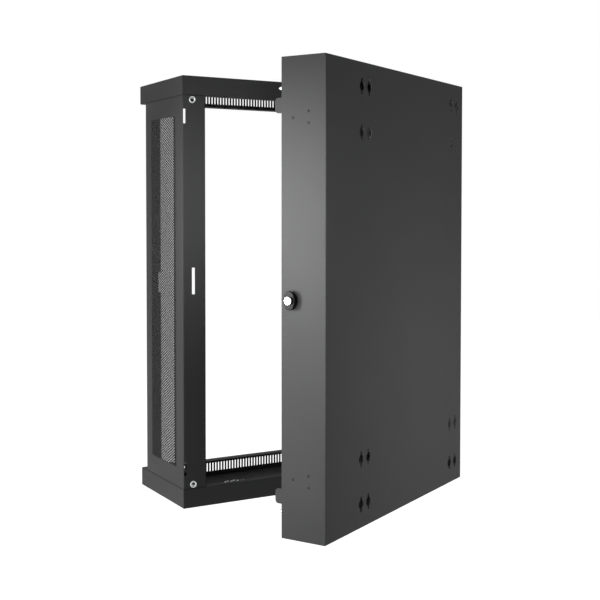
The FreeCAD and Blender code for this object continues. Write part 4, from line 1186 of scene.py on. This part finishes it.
    def cap(self, shop: Workshop, name: str, end: int) -> bpy.types.Object:
        """A cap tray with slots in its front flange and perforated fan vents.

        Args:
            shop: The shared trees.
            name: The piece's name.
            end: 1 for the top, -1 for the bottom.

        Returns:
            The piece, in the closed cabinet's frame.
        """
        wide, inner = self.half_width, self.half_width - self.sheet
        made = box_mesh((-wide, wide), (self.front, self.back), (end * self.cap_edge, end * self.top))
        folds = [edge for edge in made.edges if edge.verts[0].co.z == edge.verts[1].co.z]
        bmesh.ops.bevel(made, geom=folds, offset=self.fold, segments=self.fold_steps, profile=0.5,
                        affect="EDGES")
        tray = as_object(made, name + "_blank")
        hollow = box_mesh((-inner, inner), (self.front + self.sheet, self.back - self.sheet),
                          (end * (self.cap_edge + self.sheet), end * (self.top - self.sheet)))
        carve(tray, hollow)
        mouth_x = wide - self.cap_lip
        mouth_y = (self.front + self.cap_front_lip, self.back - self.cap_lip)
        mouth_z = (end * (self.cap_edge - PAST), end * (self.cap_edge + 2 * self.sheet))
        tools = [box_mesh((-mouth_x, mouth_x), mouth_y, mouth_z)]
        deck = end * self.top
        half = self.fan_square / 2
        for fan_x, fan_y in self.fan_centres():
            tools.append(drum_mesh(self.fan_radius, Vector((fan_x, fan_y, deck)), UP, self.drill,
                                   self.fan_sides))
            tools += [drum_mesh(self.fan_screw, Vector((fan_x + x, fan_y + y, deck)), UP, self.drill,
                                self.fan_screw_sides)
                      for x in (-half, half) for y in (-half, half)]
        tools += self.cap_screw_drills(end, (-1, 1))
        pin_x, pin_y, pin_radius = self.door_pin
        tools.append(drum_mesh(pin_radius, Vector((pin_x, pin_y, end * self.cap_edge)), UP,
                               self.lip_drill))
        carve(tray, joined(tools))
        count = int((2 * wide - 2 * self.slot_margin) // self.slot_pitch)
        middle = Vector((0, self.front + self.sheet / 2, end * (self.top + self.cap_edge) / 2)) * MM
        shop.slots.apply(tray, Width=self.slot_width * MM, Height=self.slot_height * MM,
                         Pitch=self.slot_pitch * MM, Count=count, Depth=self.slot_depth * MM,
                         Middle=tuple(middle))
        parts = [tray]
        rows = math.ceil(2 * self.fan_radius / self.fan_pitch) + self.fan_spare
        for fan_x, fan_y in self.fan_centres():
            grille = shop.perforation(self.fan_pitch, self.fan_hole, self.sheet - self.fan_thinning,
                                      rows + self.fan_spare, rows, self.fan_radius + self.fan_overlap)
            grille.data.transform(Matrix.Translation(
                Vector((fan_x, fan_y, end * (self.top - self.sheet / 2))) * MM))
            parts.append(grille)
        return merged(parts, name)

    def build(self, shop: Workshop, joints: Joints, fasteners: Fasteners) -> None:
        """Build and dress the rack section.

        Args:
            shop: The shared trees.
            joints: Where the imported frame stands.
            fasteners: The patterns.
        """
        finishes = {
            "main_hinge_leaves": Slot.POWDER, "rack_rail_lock": Slot.POWDER,
            "rack_rail_hinge": Slot.POWDER, "rail_supports_lock": Slot.POWDER,
            "rail_supports_hinge": Slot.POWDER, "main_earth_stud": Slot.ZINC,
        }
        dress_nodes(shop.palette, finishes)
        place = joints.main()
        for name, side in (("side_frame_lock", 1), ("side_frame_hinge", -1)):
            frame = self.side_frame(shop, name + "_perforated", side)
            shop.finish(frame, place, Body.MAIN, Slot.POWDER, [name])
        for name, end in (("top_cap", 1), ("bottom_cap", -1)):
            tray = self.cap(shop, name + "_slotted", end)
            shop.finish(tray, place, Body.MAIN, Slot.POWDER, [name])
        self.rings(shop, place)
        self.fixings(shop, place, fasteners)

    def rings(self, shop: Workshop, place: Matrix) -> None:
        """Set ring inserts with rolled edges in the rear flanges.

        Args:
            shop: The shared trees.
            place: Carries the closed cabinet to where it stands open.
        """
        radius, length = self.ring_body
        steps = [(0, -length), (radius, -length), (radius, 0.0), *self.ring_profile, (0, 0.0)]
        ring = as_object(lathe_mesh(steps, self.ring_sides), "ring")
        carve(ring, drum_mesh(self.ring_bore, Vector((0, 0, -length / 2)), UP, 2 * length,
                              self.ring_sides))
        seats = [self.ring_seat(side, end) for side in (-1, 1) for end in (-1, 1)]
        shop.fasten("ring_inserts_rolled", ["ring_inserts"], [(seats, Vector((0, 1, 0)))], ring, place,
                    Body.MAIN, Slot.ZINC)
        discard(ring)

    def fixings(self, shop: Workshop, place: Matrix, fasteners: Fasteners) -> None:
        """Set the rivets, screws and bolts of the rack section.

        Args:
            shop: The shared trees.
            place: Carries the closed cabinet to where it stands open.
            fasteners: The patterns.
        """
        rivet, screw, bolt = fasteners.rivet(), fasteners.screw(), fasteners.bolt()
        hinge = [Vector((-self.half_width - self.leaf, y, end * self.hinge_rise + self.hinge_height / 2))
                 for end in (-1, 1) for y in self.hinge_rivets_y]
        shop.fasten("main_hinge_rivet_heads", ["main_hinge_rivets"], [(hinge, Vector((-1, 0, 0)))],
                    rivet, place, Body.MAIN, Slot.FASTENER)
        reach = self.cap_edge - self.support_drop
        heights = (-reach, reach)
        rear_x = self.half_width - self.column - self.sheet
        front_x = self.half_width - self.front_flange - self.sheet
        returns = ((rear_x, self.back - self.column_return / 2),
                   (front_x, self.side_front + self.column_return / 2))
        groups = [([Vector((side * x, y, z)) for x, y in returns for z in heights],
                   Vector((-side, 0, 0))) for side in (-1, 1)]
        shop.fasten("support_rivet_heads", ["support_rivets"], groups, rivet, place,
                    Body.MAIN, Slot.FASTENER)
        rail_x, rail_y = rear_x - self.support_sheet, self.back - self.rail_setback + self.rail_bolt_y
        groups = [([Vector((side * rail_x, rail_y + step, z))
                    for step in (-self.rail_bolt_step, self.rail_bolt_step) for z in heights],
                   Vector((-side, 0, 0))) for side in (-1, 1)]
        shop.fasten("rail_bolt_heads", ["rail_bolts"], groups, bolt, place, Body.MAIN, Slot.ZINC)
        groups = [([Vector((side * x, y, end * (self.cap_edge - self.sheet)))
                    for x, y in self.cap_screw_places() for side in (-1, 1)], Vector((0, 0, -end)))
                  for end in (-1, 1)]
        shop.fasten("cap_screw_heads", ["cap_screws"], groups, screw, place, Body.MAIN, Slot.FASTENER)
        for pattern in (rivet, screw, bolt):
            discard(pattern)


@dataclass
class FrontDoor:
    """The glazed door."""

    def build(self, shop: Workshop) -> None:
        """Dress the door.

        Args:
            shop: The shared trees and finishes.
        """
        finishes = {
            "door_frame": Slot.POWDER, "door_glass": Slot.GLASS, "glass_clips": Slot.ZINC,
            "clip_screws": Slot.FASTENER, "door_hinge_blocks": Slot.POWDER, "door_hinge_pins": Slot.ZINC,
        }
        dress_nodes(shop.palette, finishes)


@dataclass
class KeyLock:
    """A cam lock with a winged knob."""

    prefix: str

    def build(self, shop: Workshop) -> None:
        """Dress the lock's pieces.

        Args:
            shop: The shared trees and finishes.
        """
        dress_nodes(shop.palette, {
            self.prefix + "_housing": Slot.LOCK, self.prefix + "_nut": Slot.ZINC,
            self.prefix + "_plug": Slot.CHROME, self.prefix + "_knob": Slot.LOCK,
            self.prefix + "_cam": Slot.ZINC, self.prefix + "_cam_nut": Slot.ZINC,
        })


def mirror_across_x(thing: bpy.types.Object) -> None:
    """Mirror a mesh in the plane x = 0, its faces still pointing out.

    Args:
        thing: The object that has the mesh.
    """
    made = bmesh.new()
    made.from_mesh(thing.data)
    for vertex in made.verts:
        vertex.co.x = -vertex.co.x
    bmesh.ops.reverse_faces(made, faces=made.faces)
    made.to_mesh(thing.data)
    made.free()


def dress_nodes(palette: Palette, finishes: dict[str, Slot]) -> None:
    """Give each named CAD node its finish.

    Args:
        palette: The finishes.
        finishes: The slot of each node, by the node's name.
    """
    for name, slot in finishes.items():
        palette.dress(FRAME["nodes"][name], slot)
        LOG.info("%s dressed in %s", name, slot.value)


# ---------------------------------------------------------------------- studio

@dataclass
class Lamp:
    """A soft square lamp."""

    name: str
    place: Place
    aim: Place
    size: float
    power: float
    spread: float = 180.0        # degrees

    def build(self) -> None:
        """Add the lamp."""
        data = bpy.data.lights.new(self.name, "AREA")
        data.shape = "SQUARE"
        data.size = self.size
        data.energy = self.power
        data.spread = math.radians(self.spread)
        lamp = linked(self.name, data)
        away = Vector(self.place) - Vector(self.aim)
        lamp.location = self.place
        lamp.rotation_euler = away.to_track_quat("Z", "Y").to_euler()
        lamp.visible_camera = False


@dataclass
class Studio:
    """Floor, world, lamps and camera."""

    floor_height: float = -0.72
    floor_size: float = 14.0
    floor_grain: float = 40.0
    floor_low: Colour = (0.88, 0.88, 0.88)
    floor_high: Colour = (0.93, 0.93, 0.93)
    floor_glow: float = 0.85
    sky: float = 0.19
    sky_colour: Colour = (0.96, 0.97, 1.0)
    camera_place: Place = (1.93892, 0.97404, 0.16148)
    yaw: float = -57.9675            # yaw, pitch and roll are in degrees
    pitch: float = -1.9154
    roll: float = 0.0291
    view_width: float = 600.0        # the steps that focal and centre are given in
    focal: float = 1068.475
    centre: tuple[float, float] = (301.716, 249.837)
    sensor: float = 36.0             # millimetres
    far: float = 50.0
    lamps: list[Lamp] = field(default_factory=lambda: [
        Lamp("rear", (0.0, 0.6, -0.1), (0.0, 0.0, -0.1), 0.3, 1.10),
        Lamp("rear_low", (-0.3, 0.6, -0.3), (-0.3, 0.0, -0.3), 0.3, 0.85),
        Lamp("side", (1.1, -0.05, 0.15), (0.3, -0.05, 0.15), 0.4, 0.35, 60.0),
        Lamp("side_low", (1.0, -0.05, -0.25), (0.3, -0.05, -0.2), 0.4, 0.2, 60.0),
        Lamp("lock_side", (0.92, -0.6, 0.17), (0.3, -0.05, 0.17), 0.4, 1.25, 42.0),
        Lamp("lock_side_low", (0.92, -0.6, -0.25), (0.3, -0.05, -0.25), 0.4, 0.40, 42.0),
        Lamp("column", (0.75, 0.15, 0.20), (0.2, -0.36, 0.20), 0.3, 0.22, 44.0),
        Lamp("low", (1.24, -1.03, -0.5), (0.18, -0.47, -0.3), 0.4, 2.1, 90.0),
        Lamp("front", (-0.5, -3.2, 1.5), (0.0, -0.2, 0.0), 2.0, 12.0),
        Lamp("top", (0.3, 0.0, 3.0), (0.0, 0.0, 0.0), 1.6, 8.0),
    ])

    def seen_as(self, tree: Tree, lit: Wire, seen: Wire) -> Wire:
        """Mix two shaders by what meets them.

        Args:
            tree: The material's tree.
            lit: The shader that lights the cabinet.
            seen: The shader to the camera, in gloss and through glass.

        Returns:
            The mixed shader.
        """
        path = tree.node("ShaderNodeLightPath")
        factor = tree.out(path, "Is Camera Ray").highest(tree.out(path, "Is Glossy Ray"))
        factor = factor.highest(tree.out(path, "Is Transmission Ray"))
        return tree.add("ShaderNodeMixShader", values={0: factor, 1: lit, 2: seen})

    def world(self) -> None:
        """A plain pale world that is seen as white."""
        world = bpy.data.worlds.new("studio")
        bpy.context.scene.world = world
        world.use_nodes = True
        tree = Tree(world.node_tree)
        lit = tree.add("ShaderNodeBackground", values={
            "Color": (*self.sky_colour, 1.0), "Strength": self.sky})
        white = tree.add("ShaderNodeBackground", values={"Color": WHITE, "Strength": 1.0})
        tree.node("ShaderNodeOutputWorld", values={"Surface": self.seen_as(tree, lit, white)})

    def floor(self) -> None:
        """A pale floor below the hanging cabinet."""
        half = self.floor_size / 2 / MM
        made = bmesh.new()
        corners = [made.verts.new((x * half, y * half, self.floor_height / MM))
                   for x, y in ((-1, -1), (1, -1), (1, 1), (-1, 1))]
        made.faces.new(corners)
        floor = as_object(made, "floor")
        material = bpy.data.materials.new("floor_finish")
        material.use_nodes = True
        tree = Tree(material.node_tree)
        point = tree.add("ShaderNodeTexCoord", output="Object")
        grain = tree.add("ShaderNodeTexNoise", values={"Vector": point, "Scale": self.floor_grain})
        colour = mixed_colour(tree, grain, self.floor_low, self.floor_high)
        matt = tree.add("ShaderNodeBsdfDiffuse", values={"Color": colour})
        glow = tree.add("ShaderNodeEmission", values={"Color": WHITE, "Strength": self.floor_glow})
        both = tree.add("ShaderNodeAddShader", values={0: matt, 1: glow})
        tree.node("ShaderNodeOutputMaterial", values={"Surface": self.seen_as(tree, matt, both)})
        floor.data.materials.append(material)

    def camera(self) -> None:
        """The camera, turned by yaw, pitch and roll."""
        data = bpy.data.cameras.new("camera")
        data.sensor_width = self.sensor
        data.lens = self.focal / self.view_width * self.sensor
        data.shift_x = (self.view_width / 2 - self.centre[0]) / self.view_width
        data.shift_y = (self.centre[1] - self.view_width / 2) / self.view_width
        data.clip_end = self.far
        camera = linked("camera", data)
        yaw, pitch, roll = (math.radians(angle) for angle in (self.yaw, self.pitch, self.roll))
        ahead = Vector((math.sin(yaw) * math.cos(pitch), -math.cos(yaw) * math.cos(pitch),
                        math.sin(pitch)))
        right = ahead.cross(UP).normalized()
        up = right.cross(ahead)
        across = right * math.cos(roll) + up * math.sin(roll)
        above = up * math.cos(roll) - right * math.sin(roll)
        turn = Matrix((across, above, -ahead)).transposed().to_4x4()
        camera.matrix_world = Matrix.Translation(self.camera_place) @ turn
        bpy.context.scene.camera = camera

    def build(self) -> None:
        """Set up the whole studio."""
        bpy.context.scene.view_settings.view_transform = "Standard"
        self.world()
        self.floor()
        for lamp in self.lamps:
            lamp.build()
        self.camera()


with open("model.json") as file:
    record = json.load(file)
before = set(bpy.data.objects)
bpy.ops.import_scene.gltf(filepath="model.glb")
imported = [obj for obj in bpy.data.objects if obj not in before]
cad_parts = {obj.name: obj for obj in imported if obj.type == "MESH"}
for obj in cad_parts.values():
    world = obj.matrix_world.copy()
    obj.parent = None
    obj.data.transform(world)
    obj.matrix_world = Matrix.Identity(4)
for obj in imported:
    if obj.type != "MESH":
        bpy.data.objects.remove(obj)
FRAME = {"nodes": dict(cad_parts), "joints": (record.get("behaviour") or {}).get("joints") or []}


def main() -> None:
    """Build the cabinet's looks and the studio."""
    logging.basicConfig(level=logging.INFO, format="%(name)s %(message)s")
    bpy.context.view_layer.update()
    joints = Joints.from_frame(FRAME["joints"])
    shop = Workshop(Palette())
    fasteners = Fasteners()
    WallSection().build(shop, joints, fasteners)
    MainCabinet().build(shop, joints, fasteners)
    FrontDoor().build(shop)
    KeyLock("rear_lock").build(shop)
    KeyLock("door_lock").build(shop)
    Studio().build()


if __name__ == "__main__":
    main()
